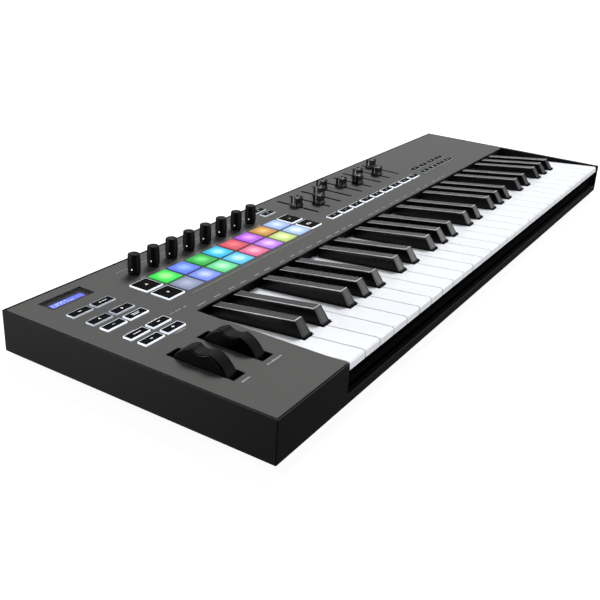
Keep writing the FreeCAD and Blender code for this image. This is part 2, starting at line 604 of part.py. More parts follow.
def make_panel_electronics():
    """Board under the plate with its switches, pad sensor sheet, pots, fader bodies and display."""
    board = [block(18, 77, 126, 216, BOARD_Z0, BOARD_Z1), block(76, 346, 164, 238, BOARD_Z0, BOARD_Z1),
             block(300, 338, 237, 249, BOARD_Z0, BOARD_Z1), block(345, 700, 164, 184, BOARD_Z0, BOARD_Z1),
             block(580, 700, 183, 194, BOARD_Z0, BOARD_Z1)]
    for group in BUTTONS.values():
        for x, y, _ in group:
            board.append(slab(x, y, (SWITCH_W, SWITCH_W), BOARD_Z0 + 0.5, BOARD_Z1 + SWITCH_H))
    board = joined(board)
    for x, y in PANEL_SCREWS:
        board = board.cut(post(x, y, BOARD_Z0 - OVER, BOARD_Z1 + OVER, SCREW_HOLE_R))
    save("panel_board", board)
    x0, x1 = PAD_XS[0] - PAD_W / 2, PAD_XS[-1] + PAD_W / 2
    y0, y1 = PAD_ROWS[1][1] - PAD_D / 2, PAD_ROWS[0][1] + PAD_D / 2
    save("pad_sensor_sheet", block(x0, x1, y0, y1, BOARD_Z1, BOARD_Z1 + 1.2))
    pots = []
    for x, y in KNOB_SPOTS:
        can = slab(x, y, (POT_W, POT_W), BOARD_Z1, FLANGE_Z1, 0.6)
        shaft = post(x, y, FLANGE_Z1 - OVER, TOP + KNOB_SHAFT_H, KNOB_SHAFT_R)
        pots.append(joined([can, shaft]))
    save("pot_bodies", pots)
    bodies = []
    for i in range(FADERS):
        x = FADER_X0 + i * COL
        body = block(x - 4.5, x + 4.5, SLOT_Y0 - 4.0, SLOT_Y1 + 4.0, PLATE_Z - 7.5, PLATE_Z)
        body = body.cut(block(x - 2.0, x + 2.0, SLOT_Y0 - 1.0, SLOT_Y1 + 1.0, PLATE_Z - 5.0, PLATE_Z + OVER))
        bodies.append(body)
    save("fader_bodies", bodies)
    save("display_module", block(24.0, 67.7, 225.8, 246.9, BOARD_Z1, PLATE_Z - 0.2))
    glass_z = TOP - GLASS_SINK - GLASS_T
    save("display_window", block(GLASS_X0 + 0.1, GLASS_X1 - 0.1, GLASS_Y0 + 0.1, GLASS_Y1 - 0.1,
                                 glass_z, glass_z + GLASS_T))


# ---------------------------------------------------------------- knobs and faders
def make_knobs():
    """Turned caps on the pot shafts, slightly wider at the foot, with a dished top."""
    z0, z1 = TOP + KNOB_GAP, TOP + KNOB_H
    for i, (x, y) in enumerate(KNOB_SPOTS):
        knob = Part.makeCone(KNOB_BASE_R, KNOB_TOP_R, z1 - z0, spot(x, y, z0))
        brow = [e for e in knob.Edges if min(v.Z for v in e.Vertexes) > z1 - 0.01]
        knob = knob.makeFillet(0.9, brow)
        dish = Part.makeSphere(14.0, spot(x, y, z1 + 14.0 - 0.5))
        knob = knob.cut(dish)
        knob = knob.cut(post(x, y, z0 - OVER, TOP + KNOB_SHAFT_H + 0.5, KNOB_BORE_R))
        save("knob_%d" % (i + 1), knob)


def make_faders():
    """Saddle-topped grips, each on the flat lever that reaches down into its fader body."""
    z0, z1 = TOP + GRIP_GAP, TOP + GRIP_H
    for i, y in enumerate(FADER_SPOTS):
        x = FADER_X0 + i * COL
        bw, bd = GRIP_BASE
        tw, td = GRIP_TOP
        side = prism_y([(x - bw / 2, z0), (x - bw / 2, z0 + GRIP_FOOT_H), (x - tw / 2, z1),
                        (x + tw / 2, z1), (x + bw / 2, z0 + GRIP_FOOT_H), (x + bw / 2, z0)],
                       y - bd / 2 - OVER, y + bd / 2 + OVER)
        waist = (bd - td) / 2 + 0.6
        front = prism_x([(y - bd / 2, z0), (y - bd / 2, z0 + GRIP_FOOT_H * 0.6),
                         (y - bd / 2 + waist, z0 + GRIP_FOOT_H * 1.6), (y - td / 2, z1), (y + td / 2, z1),
                         (y + bd / 2 - waist, z0 + GRIP_FOOT_H * 1.6), (y + bd / 2, z0 + GRIP_FOOT_H * 0.6),
                         (y + bd / 2, z0)], x - bw / 2 - OVER, x + bw / 2 + OVER)
        grip = side.common(front).removeSplitter()
        dish = bar_y(x, y - bd, y + bd, z1 + GRIP_DISH_R - GRIP_DISH, GRIP_DISH_R)
        grip = grip.cut(dish)
        pocket = slab(x, y, (LEVER_T + 0.2, LEVER_L - 1.8), z0 - OVER, z0 + GRIP_POCKET_H)
        grip = grip.cut(pocket)
        lever = slab(x, y, (LEVER_T, LEVER_L - 2.0), LEVER_Z, z0 + GRIP_POCKET_H - 0.1)
        shoe = slab(x, y, (LEVER_T, LEVER_L), LEVER_Z, TOP - 0.3)
        save("fader_%d" % (i + 1), [grip, joined([lever, shoe])])


# ---------------------------------------------------------------- wheels
def make_wheels():
    """Two thumb wheels on the shafts of their pots, carried by one bracket."""
    for node, x in zip(("pitch_wheel", "mod_wheel"), WHEEL_X):
        x0, x1 = x - WHEEL_W / 2, x + WHEEL_W / 2
        disc = bar_x(x0, x1, WHEEL_Y, WHEEL_Z, WHEEL_R)
        a = math.radians(WHEEL_HALF_ANGLE)
        far = WHEEL_R * 3
        wedge = prism_x([(WHEEL_Y, WHEEL_Z), (WHEEL_Y - far * math.sin(a), WHEEL_Z + far * math.cos(a)),
                         (WHEEL_Y - far, WHEEL_Z + far * 2), (WHEEL_Y + far, WHEEL_Z + far * 2),
                         (WHEEL_Y + far * math.sin(a), WHEEL_Z + far * math.cos(a))], x0 - OVER, x1 + OVER)
        wheel = joined([disc.common(wedge), bar_x(x0, x1, WHEEL_Y, WHEEL_Z, WHEEL_HUB_R)])
        notch_z = WHEEL_Z + WHEEL_R - NOTCH_DEPTH + NOTCH_R
        wheel = wheel.cut(bar_x(x0 - OVER, x1 + OVER, WHEEL_Y, notch_z, NOTCH_R))
        brow_z = WHEEL_Z + WHEEL_R - NOTCH_DEPTH
        lip = [e for e in wheel.Edges
               if min(v.Z for v in e.Vertexes) > brow_z and abs(e.Length - WHEEL_W) < 0.01]
        wheel = wheel.makeFillet(NOTCH_EDGE, lip)
        tread = WHEEL_R - NOTCH_DEPTH - 0.5
        centre = spot(0, WHEEL_Y, WHEEL_Z)
        rim = [e for e in wheel.Edges
               if e.BoundBox.XLength < 0.01
               and min(math.hypot(v.Y - centre.y, v.Z - centre.z) for v in e.Vertexes) > tread]
        wheel = wheel.makeFillet(WHEEL_CROWN, rim)
        wheel = wheel.cut(bar_x(x0 - OVER, x1 + OVER, WHEEL_Y, WHEEL_Z, WHEEL_BORE_R))
        save(node, wheel)
    pitch_x, mod_x = WHEEL_X
    plate0 = pitch_x + WHEEL_W / 2 + 2.8
    plate1 = mod_x - WHEEL_W / 2 - 2.0
    thick = 2.0
    base_y = (56.0, 110.0)
    plates = [block(plate0, plate0 + thick, base_y[0], base_y[1], FLOOR_Z, WHEEL_Z + 9.0),
              block(plate1 - thick, plate1, base_y[0], base_y[1], FLOOR_Z, WHEEL_Z + 9.0),
              block(plate0, plate1, base_y[0], base_y[1], FLOOR_Z, FLOOR_Z + thick)]
    plates += [post(x, y, FLOOR_Z, FLOOR_Z + SCREW_L, BOSS_R) for x, y in BRACKET_SCREWS]
    bracket = joined(plates)
    bracket = bracket.cut(bar_x(plate0 - OVER, plate1 + OVER, WHEEL_Y, WHEEL_Z, WHEEL_SHAFT_R + 0.3))
    for x, y in BRACKET_SCREWS:
        bracket = bracket.cut(post(x, y, FLOOR_Z - OVER, FLOOR_Z + SCREW_L, SCREW_R))
    save("wheel_bracket", bracket)
    can_r, can_l = 6.5, 5.5
    pot_a = [bar_x(plate0 + thick, plate0 + thick + can_l, WHEEL_Y, WHEEL_Z, can_r),
             bar_x(pitch_x - WHEEL_W / 2 + 0.5, plate0 + thick + OVER, WHEEL_Y, WHEEL_Z, WHEEL_SHAFT_R)]
    pot_b = [bar_x(plate1 - thick - can_l, plate1 - thick, WHEEL_Y, WHEEL_Z, can_r),
             bar_x(plate1 - thick - OVER, mod_x + WHEEL_W / 2 - 0.5, WHEEL_Y, WHEEL_Z, WHEEL_SHAFT_R)]
    save("wheel_pots", [joined(pot_a), joined(pot_b)])
    spring_x = plate0 - RETURN_STANDOFF
    low = WHEEL_Z - RETURN_LEG
    front, rear = WHEEL_Y - RETURN_R, WHEEL_Y + RETURN_R
    bend = Part.Arc(spot(spring_x, front, WHEEL_Z), spot(spring_x, WHEEL_Y, WHEEL_Z + RETURN_R),
                    spot(spring_x, rear, WHEEL_Z)).toShape()
    path = Part.Wire([Part.makeLine(spot(spring_x, front, low), spot(spring_x, front, WHEEL_Z)), bend,
                      Part.makeLine(spot(spring_x, rear, WHEEL_Z), spot(spring_x, rear, low))])
    ring = Part.Wire(Part.Circle(spot(spring_x, front, low), FreeCAD.Vector(0, 0, 1), RETURN_WIRE_R).toShape())
    spring = path.makePipeShell([ring], True, False)
    print("return spring", round(spring.Volume, 3), "mm3, wire of",
          round(math.pi * RETURN_WIRE_R ** 2 * path.Length, 3))
    save("pitch_spring", spring)


# ---------------------------------------------------------------- main board and rear sockets
def make_rear_electronics():
    """Main board on its posts, with the three sockets that open through the rear wall."""
    x0, x1, y0, y1 = MAIN_BOARD
    board = block(x0, x1, y0, y1, MAIN_Z0, MAIN_Z1)
    for x, y in MAIN_SCREWS:
        board = board.cut(post(x, y, MAIN_Z0 - OVER, MAIN_Z1 + OVER, SCREW_HOLE_R))
    chips = [block(100, 114, 206, 220, MAIN_Z1 - 0.5, MAIN_Z1 + 1.2),
             block(130, 138, 204, 214, MAIN_Z1 - 0.5, MAIN_Z1 + 1.2)]
    save("main_board", joined([board] + chips))
    face = SOCKET_FACE_Y
    usb = block(USB_X - USB_W / 2, USB_X + USB_W / 2, face - USB_D, face, MAIN_Z1, MAIN_Z1 + USB_H)
    mid_z = MAIN_Z1 + USB_H / 2
    usb = usb.cut(block(USB_X - USB_MOUTH_W / 2, USB_X + USB_MOUTH_W / 2, face - USB_MOUTH_D, face + OVER,
                        mid_z - USB_MOUTH_H / 2, mid_z + USB_MOUTH_H / 2))
    tongue = block(USB_X - USB_TONGUE_W / 2, USB_X + USB_TONGUE_W / 2, face - USB_MOUTH_D - OVER, face - USB_TONGUE_SINK,
                   mid_z - USB_TONGUE_H / 2, mid_z + USB_TONGUE_H / 2)
    save("usb_socket", joined([usb, tongue]))
    midi_z = MAIN_Z1 + MIDI_W / 2
    inner = BODY_D - WALL - 0.2
    midi = joined([block(MIDI_X - MIDI_W / 2, MIDI_X + MIDI_W / 2, inner - MIDI_D, inner, MAIN_Z1,
                         MAIN_Z1 + MIDI_W), bar_y(MIDI_X, inner - OVER, face, midi_z, MIDI_R)])
    midi = midi.cut(bar_y(MIDI_X, face - MIDI_DEPTH, face + OVER, midi_z, MIDI_BORE_R))
    midi = joined([midi, block(MIDI_X - 1.0, MIDI_X + 1.0, face - MIDI_DEPTH - OVER, face - 0.8,
                               midi_z + MIDI_BORE_R - 1.2, midi_z + MIDI_BORE_R + 0.5)])
    for angle in MIDI_PIN_ANGLES:
        px = MIDI_X + MIDI_PIN_CIRCLE * math.cos(math.radians(angle))
        pz = midi_z + MIDI_PIN_CIRCLE * math.sin(math.radians(angle))
        midi = midi.cut(bar_y(px, face - MIDI_DEPTH - 2.5, face - MIDI_DEPTH + OVER, pz, MIDI_PIN_R))
    save("midi_socket", midi)
    jack_z = MAIN_Z1 + JACK_H / 2
    jack = joined([block(JACK_X - JACK_W / 2, JACK_X + JACK_W / 2, inner - JACK_D, inner, MAIN_Z1,
                         MAIN_Z1 + JACK_H), bar_y(JACK_X, inner - OVER, face, jack_z, JACK_COLLAR_R)])
    jack = jack.cut(bar_y(JACK_X, face - JACK_BORE_D, face + OVER, jack_z, JACK_BORE_R))
    save("sustain_jack", jack)


# ---------------------------------------------------------------- screws and feet
def screw(x, y, z, up):
    """Pan head screw; z is the seat under its head, up is +1 when it is driven upwards."""
    shank_z = (z, z + SCREW_L) if up > 0 else (z - SCREW_L, z)
    head_z = (z - SCREW_HEAD_H, z) if up > 0 else (z, z + SCREW_HEAD_H)
    drive_z = (head_z[0] - OVER, head_z[0] + DRIVE_DEPTH) if up > 0 else (head_z[1] - DRIVE_DEPTH,
                                                                          head_z[1] + OVER)
    body = joined([post(x, y, head_z[0], head_z[1], SCREW_HEAD_R),
                   post(x, y, shank_z[0], shank_z[1], SCREW_R - 0.05)])
    return body.cut(post(x, y, drive_z[0], drive_z[1], DRIVE_R))


def make_fasteners():
    """Twenty-eight identical screws and four feet."""
    seat = FOOT_H + SCREW_HEAD_H
    screws = [screw(x, y, seat, 1) for x, y in COVER_SCREWS + FRAME_SCREWS + BRACKET_SCREWS]
    screws += [screw(x, y, MAIN_Z1, -1) for x, y in MAIN_SCREWS]
    screws += [screw(x, y, BOARD_Z0, 1) for x, y in PANEL_SCREWS]
    save("screws", screws)
    feet = []
    for x, y in FOOT_SPOTS:
        pad = Part.makeCone(FOOT_R - 0.8, FOOT_R, FOOT_H, spot(x, y, 0))
        feet.append(joined([pad, post(x, y, FOOT_H - OVER, FLOOR_Z, FOOT_PEG_R - 0.05)]))
    save("rubber_feet", feet)


make_case()
make_cover()
make_keys()
make_keybed()
make_buttons()
make_panel_electronics()
make_knobs()
make_faders()
make_wheels()
make_rear_electronics()
make_fasteners()
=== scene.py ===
"""A 49-key controller keyboard: looks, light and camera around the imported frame."""

import math
import random

import bmesh
import bpy
from mathutils import Matrix, Vector


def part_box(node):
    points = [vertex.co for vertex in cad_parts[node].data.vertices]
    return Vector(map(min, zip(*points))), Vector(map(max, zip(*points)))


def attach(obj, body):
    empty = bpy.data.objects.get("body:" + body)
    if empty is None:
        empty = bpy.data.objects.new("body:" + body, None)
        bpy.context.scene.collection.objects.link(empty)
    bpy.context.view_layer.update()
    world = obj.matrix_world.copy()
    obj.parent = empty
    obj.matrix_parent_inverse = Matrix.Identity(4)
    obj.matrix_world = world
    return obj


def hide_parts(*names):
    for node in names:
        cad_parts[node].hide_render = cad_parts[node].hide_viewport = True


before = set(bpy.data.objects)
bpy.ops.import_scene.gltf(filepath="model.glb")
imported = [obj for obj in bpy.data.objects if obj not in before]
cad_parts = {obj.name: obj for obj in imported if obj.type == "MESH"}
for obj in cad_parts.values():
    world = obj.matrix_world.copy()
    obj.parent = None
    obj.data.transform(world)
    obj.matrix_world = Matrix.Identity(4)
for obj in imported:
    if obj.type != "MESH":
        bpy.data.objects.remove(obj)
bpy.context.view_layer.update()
MM = 0.001

# ---------------------------------------------------------------- places read from the frame
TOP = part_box("top_cover")[1].z
PLATE_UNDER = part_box("fader_bodies")[1].z
ABOVE_PLATE = TOP + 0.2 * MM


def islands(node, above=-1.0):
    """Boxes of a CAD node's separate solids, from what lies above a height.

    The rear row comes first, and each row runs from left to right.
    """
    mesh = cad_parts[node].data
    keys = {}
    where = [keys.setdefault(tuple(round(c, 5) for c in v.co), len(keys)) for v in mesh.vertices]
    root = list(range(len(keys)))

    def find(i):
        """The first vertex of the solid that a vertex belongs to."""
        while root[i] != i:
            root[i] = root[root[i]]
            i = root[i]
        return i

    for edge in mesh.edges:
        a, b = (find(where[v]) for v in edge.vertices)
        root[a] = b
    boxes = {}
    for v in mesh.vertices:
        if v.co.z < above:
            continue
        lo, hi = boxes.get(find(where[v.index]), (v.co, v.co))
        boxes[find(where[v.index])] = (Vector(map(min, lo, v.co)), Vector(map(max, hi, v.co)))
    return sorted(boxes.values(), key=lambda b: (-round(b[0].y, 3), b[0].x))


def spans(lo, hi):
    """Middle and size of a box in x and y."""
    return (lo.x + hi.x) / 2, (lo.y + hi.y) / 2, hi.x - lo.x, hi.y - lo.y


# ---------------------------------------------------------------- colours and materials
def srgb(code):
    """A six-digit hex colour as linear RGBA."""
    out = []
    for i in (0, 2, 4):
        c = int(code[i:i + 2], 16) / 255
        out.append(c / 12.92 if c <= 0.04045 else ((c + 0.055) / 1.055) ** 2.4)
    return (*out, 1.0)


def scaled(colour, k):
    """A colour made darker or lighter."""
    return (colour[0] * k, colour[1] * k, colour[2] * k, 1.0)


class Finish:
    """A node material on a Principled shader, with the parts that most surfaces share."""

    def __init__(self, name, rough=0.5, metal=0.0, level=0.5):
        self.mat = bpy.data.materials.new(name)
        self.mat.use_nodes = True
        self.tree = self.mat.node_tree
        self.bsdf = self.tree.nodes["Principled BSDF"]
        self.fix(Roughness=rough, Metallic=metal, Specular_IOR_Level=level)
        self.coord = self.node("ShaderNodeTexCoord").outputs["Object"]
        self.tone = None

    def fix(self, **values):
        """Sets the shader's own sockets, by name, to values that hold all over the surface."""
        for key, value in values.items():
            self.bsdf.inputs[key.replace("_", " ")].default_value = value

    def node(self, kind, **values):
        """A new node; values are its input sockets by name."""
        made = self.tree.nodes.new(kind)
        for key, value in values.items():
            made.inputs[key.replace("_", " ")].default_value = value
        return made

    def link(self, a, b):
        """Joins an output to an input."""
        self.tree.links.new(a, b)

    def noise(self, scale, detail, rough):
        """A noise texture on object coordinates."""
        made = self.node("ShaderNodeTexNoise", Scale=scale, Detail=detail, Roughness=rough)
        self.link(self.coord, made.inputs["Vector"])
        return made.outputs["Fac"]

    def ramp(self, fac, stops):
        """A colour ramp; stops are (place, colour)."""
        made = self.node("ShaderNodeValToRGB")
        line = made.color_ramp
        line.elements[0].position, line.elements[0].color = stops[0]
        line.elements[1].position, line.elements[1].color = stops[-1]
        for place, colour in stops[1:-1]:
            line.elements.new(place).color = colour
        self.link(fac, made.inputs["Fac"])
        return made.outputs["Color"]

    def spread(self, fac, lo, hi, out_lo, out_hi):
        """Maps a value from one span to another."""
        made = self.node("ShaderNodeMapRange",
                         From_Min=lo, From_Max=hi, To_Min=out_lo, To_Max=out_hi)
        self.link(fac, made.inputs["Value"])
        return made.outputs["Result"]

    def math(self, kind, a, b):
        """One step of arithmetic; a and b are sockets or numbers."""
        made = self.node("ShaderNodeMath")
        made.operation = kind
        for socket, value in zip(made.inputs, (a, b)):
            if isinstance(value, (int, float)):
                socket.default_value = value
            else:
                self.link(value, socket)
        return made.outputs[0]

    def apart(self, a, b):
        """How far two values are from each other."""
        return self.math("ABSOLUTE", self.math("SUBTRACT", a, b), 0.0)

    def band(self, value, rise_from, rise_to, fall_from, fall_to):
        """One between two places and nothing outside them, with soft edges."""
        return self.math("MULTIPLY", self.spread(value, rise_from, rise_to, 0.0, 1.0),
                         self.spread(value, fall_from, fall_to, 1.0, 0.0))

    def vector(self, kind, a, b=None, out="Vector"):
        """One step of vector arithmetic on a socket; b is a triple."""
        made = self.node("ShaderNodeVectorMath")
        made.operation = kind
        self.link(a, made.inputs[0])
        if b is not None:
            made.inputs[1].default_value = b
        return made.outputs[out]

    def mix(self, fac, a, b):
        """Blends two colours; each is a socket or a colour."""
        made = self.tree.nodes.new("ShaderNodeMix")
        made.data_type = "RGBA"
        self.link(fac, made.inputs[0])
        for socket, value in zip(made.inputs[6:8], (a, b)):
            if isinstance(value, tuple):
                socket.default_value = value
            else:
                self.link(value, socket)
        return made.outputs[2]

    def axis(self, name):
        """One object coordinate."""
        made = self.node("ShaderNodeSeparateXYZ")
        self.link(self.coord, made.inputs[0])
        return made.outputs[name]

    def bump(self, height, strength, distance):
        """Feeds a height into the shader's normal."""
        made = self.node("ShaderNodeBump", Strength=strength, Distance=distance)
        self.link(height, made.inputs["Height"])
        self.link(made.outputs["Normal"], self.bsdf.inputs["Normal"])

    def base(self, socket):
        """Sets the base colour from a socket, and keeps it as the tone."""
        self.tone = socket
        self.link(socket, self.bsdf.inputs["Base Color"])

    def sheen(self, socket):
        """Sets the roughness from a socket."""
        self.link(socket, self.bsdf.inputs["Roughness"])

    def glow(self, socket, strength):
        """Sets the colour and the strength of the surface's own light."""
        self.link(socket, self.bsdf.inputs["Emission Color"])
        self.fix(Emission_Strength=strength)


def moulded(name, colour, rough, grain, depth, level=0.5, vary=0.12, patch=9.0):
    """Moulded plastic or rubber: fine spark-eroded grain, faint broad patches, uneven sheen.

    grain and patch are noise scales; depth is the height of the grain in metres.
    """
    f = Finish(name, rough, level=level)
    fine = f.noise(grain, 3.0, 0.6)
    broad = f.noise(patch, 3.0, 0.55)
    speck = f.noise(grain * 0.37, 2.0, 0.5)
    tone = f.ramp(broad, [(0.3, scaled(colour, 1 - vary)), (0.7, scaled(colour, 1 + vary))])
    speckled = f.spread(speck, 0.35, 0.75, 0.0, 0.25)
    f.base(f.mix(speckled, tone, scaled(colour, 1 - 2.2 * vary)))
    f.sheen(f.spread(f.math("ADD", fine, broad), 0.6, 1.4, rough - 0.07, rough + 0.09))
    f.bump(fine, 0.35, depth)
    return f


PANEL_GREY = srgb("525251")
CASE_GREY = srgb("131315")
INK = srgb("0b0b0c")
KEY_IVORY = srgb("d2d4d8")
# colour of the faint painted shade low on the white keys' sides, between the keys
KEY_GAP_SHADE = srgb("d2d4da")
# pale colour of the painted highlight lines on the black keys
SHARP_HIGHLIGHT = srgb("d0d0d4")

# strength of the painted glow that each white key gives off though it holds no lamp, and of a lit
# pad
KEY_PAINTED_GLOW = 0.16
PAD_GLOW = 1.04
GLASS_ALPHA = 0.2


def panel_finish():
    """Top plate: warm grey moulded face; below the face, its lip, groove walls and underside are
    painted dark as shade.
    """
    f = moulded("panel_grain_and_shade", PANEL_GREY, 0.6, 1500.0, 0.00002, 0.04, 0.05, 6.0)
    # painted shade: everything below the face (groove walls, lip and underside) is darkened
    # towards black
    painted_shade = f.spread(f.axis("Z"), TOP - 1.2 * MM, TOP - 0.7 * MM, 1.0, 0.0)
    f.base(f.mix(painted_shade, f.tone, scaled(INK, 0.7)))
    return f.mat


def key_white_finish():
    """White key plastic: clean gloss, faint mottling, a faint painted shade (slightly cooler) low
    on its sides between the keys, and a painted glow.
    """
    f = Finish("key_white_gloss_painted_glow", 0.3)
    broad = f.noise(14.0, 3.0, 0.5)
    fine = f.noise(900.0, 2.0, 0.5)
    tone = f.ramp(broad, [(0.3, scaled(KEY_IVORY, 0.985)), (0.7, KEY_IVORY)])
    # painted shade: low on the sides, between the keys, the colour turns slightly cooler
    low = f.spread(f.axis("Z"), TOP - 22 * MM, TOP - 12 * MM, 0.3, 0.0)
    f.base(f.mix(low, tone, KEY_GAP_SHADE))
    f.sheen(f.spread(broad, 0.3, 0.7, 0.24, 0.34))
    f.bump(fine, 0.12, 0.00001)
    f.fix(Coat_Weight=0.15, Coat_Roughness=0.18)
    # painted light: the white keys glow by themselves, though they hold no lamp
    f.glow(tone, KEY_PAINTED_GLOW)
    return f.mat


def sharp_crest(node):
    """y of the crest where the sloping nose of a black key meets its top."""
    return max(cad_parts[node].data.vertices, key=lambda v: v.co.z).co.y


def sharp_finish(name, node):
    """Satin black key: painted highlight lines on the crest and along the upper edges, a dull line
    inside each, a dull foot.
    """
    boxes = islands(node)
    lo, hi = boxes[0]
    pitch = boxes[1][0].x - lo.x
    half = (hi.x - lo.x) / 2
    crest = sharp_crest(node)
    f = Finish(name, 0.28, level=0.2)
    along = f.math("FLOORED_MODULO", f.math("SUBTRACT", f.axis("X"), lo.x), pitch)
    off = f.apart(along, half)
    edge = f.band(off, half - 1.6 * MM, half - 1.5 * MM, half - 0.98 * MM, half - 0.9 * MM)
    dull = f.band(off, half - 2.4 * MM, half - 2.2 * MM, half - 1.65 * MM, half - 1.55 * MM)
    foot = f.spread(f.axis("Y"), lo.y + 2.1 * MM, lo.y + 2.3 * MM, 1.0, 0.0)
    brow = f.spread(f.apart(f.axis("Y"), crest), 0.3 * MM, 0.5 * MM, 1.0, 0.0)
    inner = f.spread(off, half - 1.1 * MM, half - 0.9 * MM, 1.0, 0.0)
    edge = f.math("MULTIPLY", edge, f.spread(f.axis("Y"), crest - 0.4 * MM, crest, 0.0, 1.0))
    # painted highlight: a pale line along each upper edge and over the crest
    painted_highlight = f.math("MAXIMUM", edge, f.math("MULTIPLY", brow, inner))
    grain = f.noise(1400.0, 3.0, 0.6)
    broad = f.noise(22.0, 3.0, 0.55)
    tone = f.ramp(broad, [(0.3, srgb("030303")), (0.7, srgb("080809"))])
    wear_and_highlight = f.math("MULTIPLY", painted_highlight, f.spread(broad, 0.25, 0.6, 0.55, 0.9))
    # painted highlight: the lines are coloured pale grey, broken up by broad noise
    f.base(f.mix(wear_and_highlight, tone, SHARP_HIGHLIGHT))
    satin = f.spread(f.math("ADD", grain, broad), 0.6, 1.4, 0.22, 0.36)
    f.sheen(f.math("ADD", satin, f.math("MULTIPLY", f.math("MAXIMUM", dull, foot), 0.6)))
    f.bump(grain, 0.3, 0.00002)
    return f.mat


def wheel_finish(name, node):
    """Thumb wheel: dull rubber tread with a fine groove near each side, painted darker as shade,
    glossier flanks.
    """
    middle, _, width, _ = spans(*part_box(node))
    half = width / 2
    f = Finish(name, 0.5, level=0.05)
    off = f.apart(f.axis("X"), middle)
    tread = f.spread(off, half - 1.6 * MM, half - 1.1 * MM, 1.0, 0.0)
    groove = f.spread(f.apart(off, half - 2.6 * MM), 0.0, 0.35 * MM, 1.0, 0.0)
    grain = f.noise(1100.0, 3.0, 0.6)
    broad = f.noise(60.0, 2.0, 0.5)
    rubber = f.ramp(broad, [(0.3, srgb("08080a")), (0.7, srgb("0f1012"))])
    # painted shade: the groove is coloured darker than the rubber around it
    rubber = f.mix(f.math("MULTIPLY", groove, 0.8), rubber, srgb("060607"))
    f.base(f.mix(tread, srgb("010101"), rubber))
    f.sheen(f.spread(tread, 0.0, 1.0, 0.38, 0.6))
    f.bump(f.math("SUBTRACT", f.math("MULTIPLY", grain, 0.3), groove), 0.5, 0.00025)
    return f.mat


def glass_finish():
    """Smoked window over the display, faintly rippled, with a few wiping marks."""
    f = Finish("smoked_window", 0.3, level=0.3)
    wipe = f.noise(120.0, 4.0, 0.6)
    f.base(f.ramp(wipe, [(0.35, srgb("1e1e1e")), (0.7, srgb("222222"))]))
    f.sheen(f.spread(wipe, 0.3, 0.75, 0.28, 0.36))
    f.fix(Alpha=GLASS_ALPHA)
    f.bump(wipe, 0.03, 0.00001)
    return f.mat


def pad_finish(name, centre, edge, core, reach):
    """Translucent silicone pad lit from below: bright core, coloured rim, and flanks darkened as
    painted shade.
    """
    f = Finish(name, 0.55, level=0.12)
    flat = f.vector("MULTIPLY", f.vector("SUBTRACT", f.coord, centre), (1.0, 1.0, 0.0))
    cloud = f.noise(260.0, 2.0, 0.5)
    wide = f.math("ADD", f.vector("LENGTH", flat, out="Value"),
                  f.spread(cloud, 0.3, 0.7, -0.35 * MM, 0.35 * MM))
    between = tuple(0.62 * c + 0.38 * e for c, e in zip(core, edge))
    light = f.ramp(f.spread(wide, 0.0, reach, 0.0, 1.0),
                   [(0.0, core), (0.28, between), (0.62, edge), (1.0, scaled(edge, 0.78))])
    # painted shade: the light fades on the pad's flanks, below its top
    flank = f.spread(f.axis("Z"), centre[2] - 0.8 * MM, centre[2] - 0.45 * MM, 0.75, 0.0)
    f.glow(f.mix(flank, light, scaled(edge, 0.12)), PAD_GLOW)
    f.base(f.mix(f.spread(cloud, 0.3, 0.7, 0.0, 0.3), scaled(edge, 0.18), scaled(core, 0.2)))
    f.bump(f.noise(1600.0, 2.0, 0.5), 0.2, 0.00002)
    return f.mat


def lit_finish(name, colour, strength):
    """Frosted light guide that glows a little unevenly."""
    f = Finish(name, 0.45)
    cloud = f.noise(180.0, 2.0, 0.5)
    f.glow(f.ramp(cloud, [(0.3, scaled(colour, 0.82)), (0.7, colour)]), strength)
    f.base(f.ramp(cloud, [(0.3, scaled(colour, 0.3)), (0.7, scaled(colour, 0.36))]))
    f.bump(f.noise(1300.0, 2.0, 0.5), 0.15, 0.00001)
    return f.mat


def metal_finish(name, colour, rough):
    """Bright rolled or turned metal with brushed streaks."""
    f = Finish(name, rough, metal=1.0)
    streak = f.node("ShaderNodeMapping", Scale=(40.0, 900.0, 900.0))
    f.link(f.coord, streak.inputs["Vector"])
    lines = f.node("ShaderNodeTexNoise", Scale=1.0, Detail=3.0)
    f.link(streak.outputs["Vector"], lines.inputs["Vector"])
    fac = lines.outputs["Fac"]
    f.base(f.ramp(fac, [(0.3, scaled(colour, 0.8)), (0.7, colour)]))
    f.sheen(f.spread(fac, 0.3, 0.7, rough - 0.06, rough + 0.1))
    f.bump(fac, 0.15, 0.00002)
    return f.mat


def ink_finish(name, colour):
    """Screen-printed ink, slightly worn and broken up."""
    f = Finish(name, 0.6, level=0.3)
    wear_and_highlight = f.noise(700.0, 4.0, 0.7)
    f.base(f.ramp(wear_and_highlight, [(0.3, scaled(colour, 0.7)), (0.55, colour)]))
    f.bump(wear_and_highlight, 0.2, 0.00001)
    return f.mat


# moulded: name, colour, roughness, grain, depth, then specular level, variation and patch
PANEL = panel_finish()
CASE = moulded("case_grain", CASE_GREY, 0.55, 1300.0, 0.00003, 0.08, 0.06, 7.0).mat
FRAME = moulded("frame_black", INK, 0.6, 900.0, 0.00003, 0.15, 0.1).mat
KEY_WHITE = key_white_finish()
CAP_BLACK = moulded("cap_black", srgb("0a0a0b"), 0.55, 1600.0, 0.00002, 0.01, 0.12, 40.0).mat
GRIP_BLACK = moulded("grip_black", srgb("060607"), 0.4, 1500.0, 0.00002, 0.15, 0.12, 60.0).mat
KNOB_BLACK = moulded("knob_black", srgb("040405"), 0.5, 1700.0, 0.00003, 0.06, 0.12, 60.0).mat
SILICONE = moulded("silicone_grey", srgb("9a9c9e"), 0.6, 700.0, 0.00003, 0.3, 0.08).mat
FELT = moulded("felt_black", srgb("1a1a1a"), 0.95, 2600.0, 0.00025, 0.1, 0.25).mat
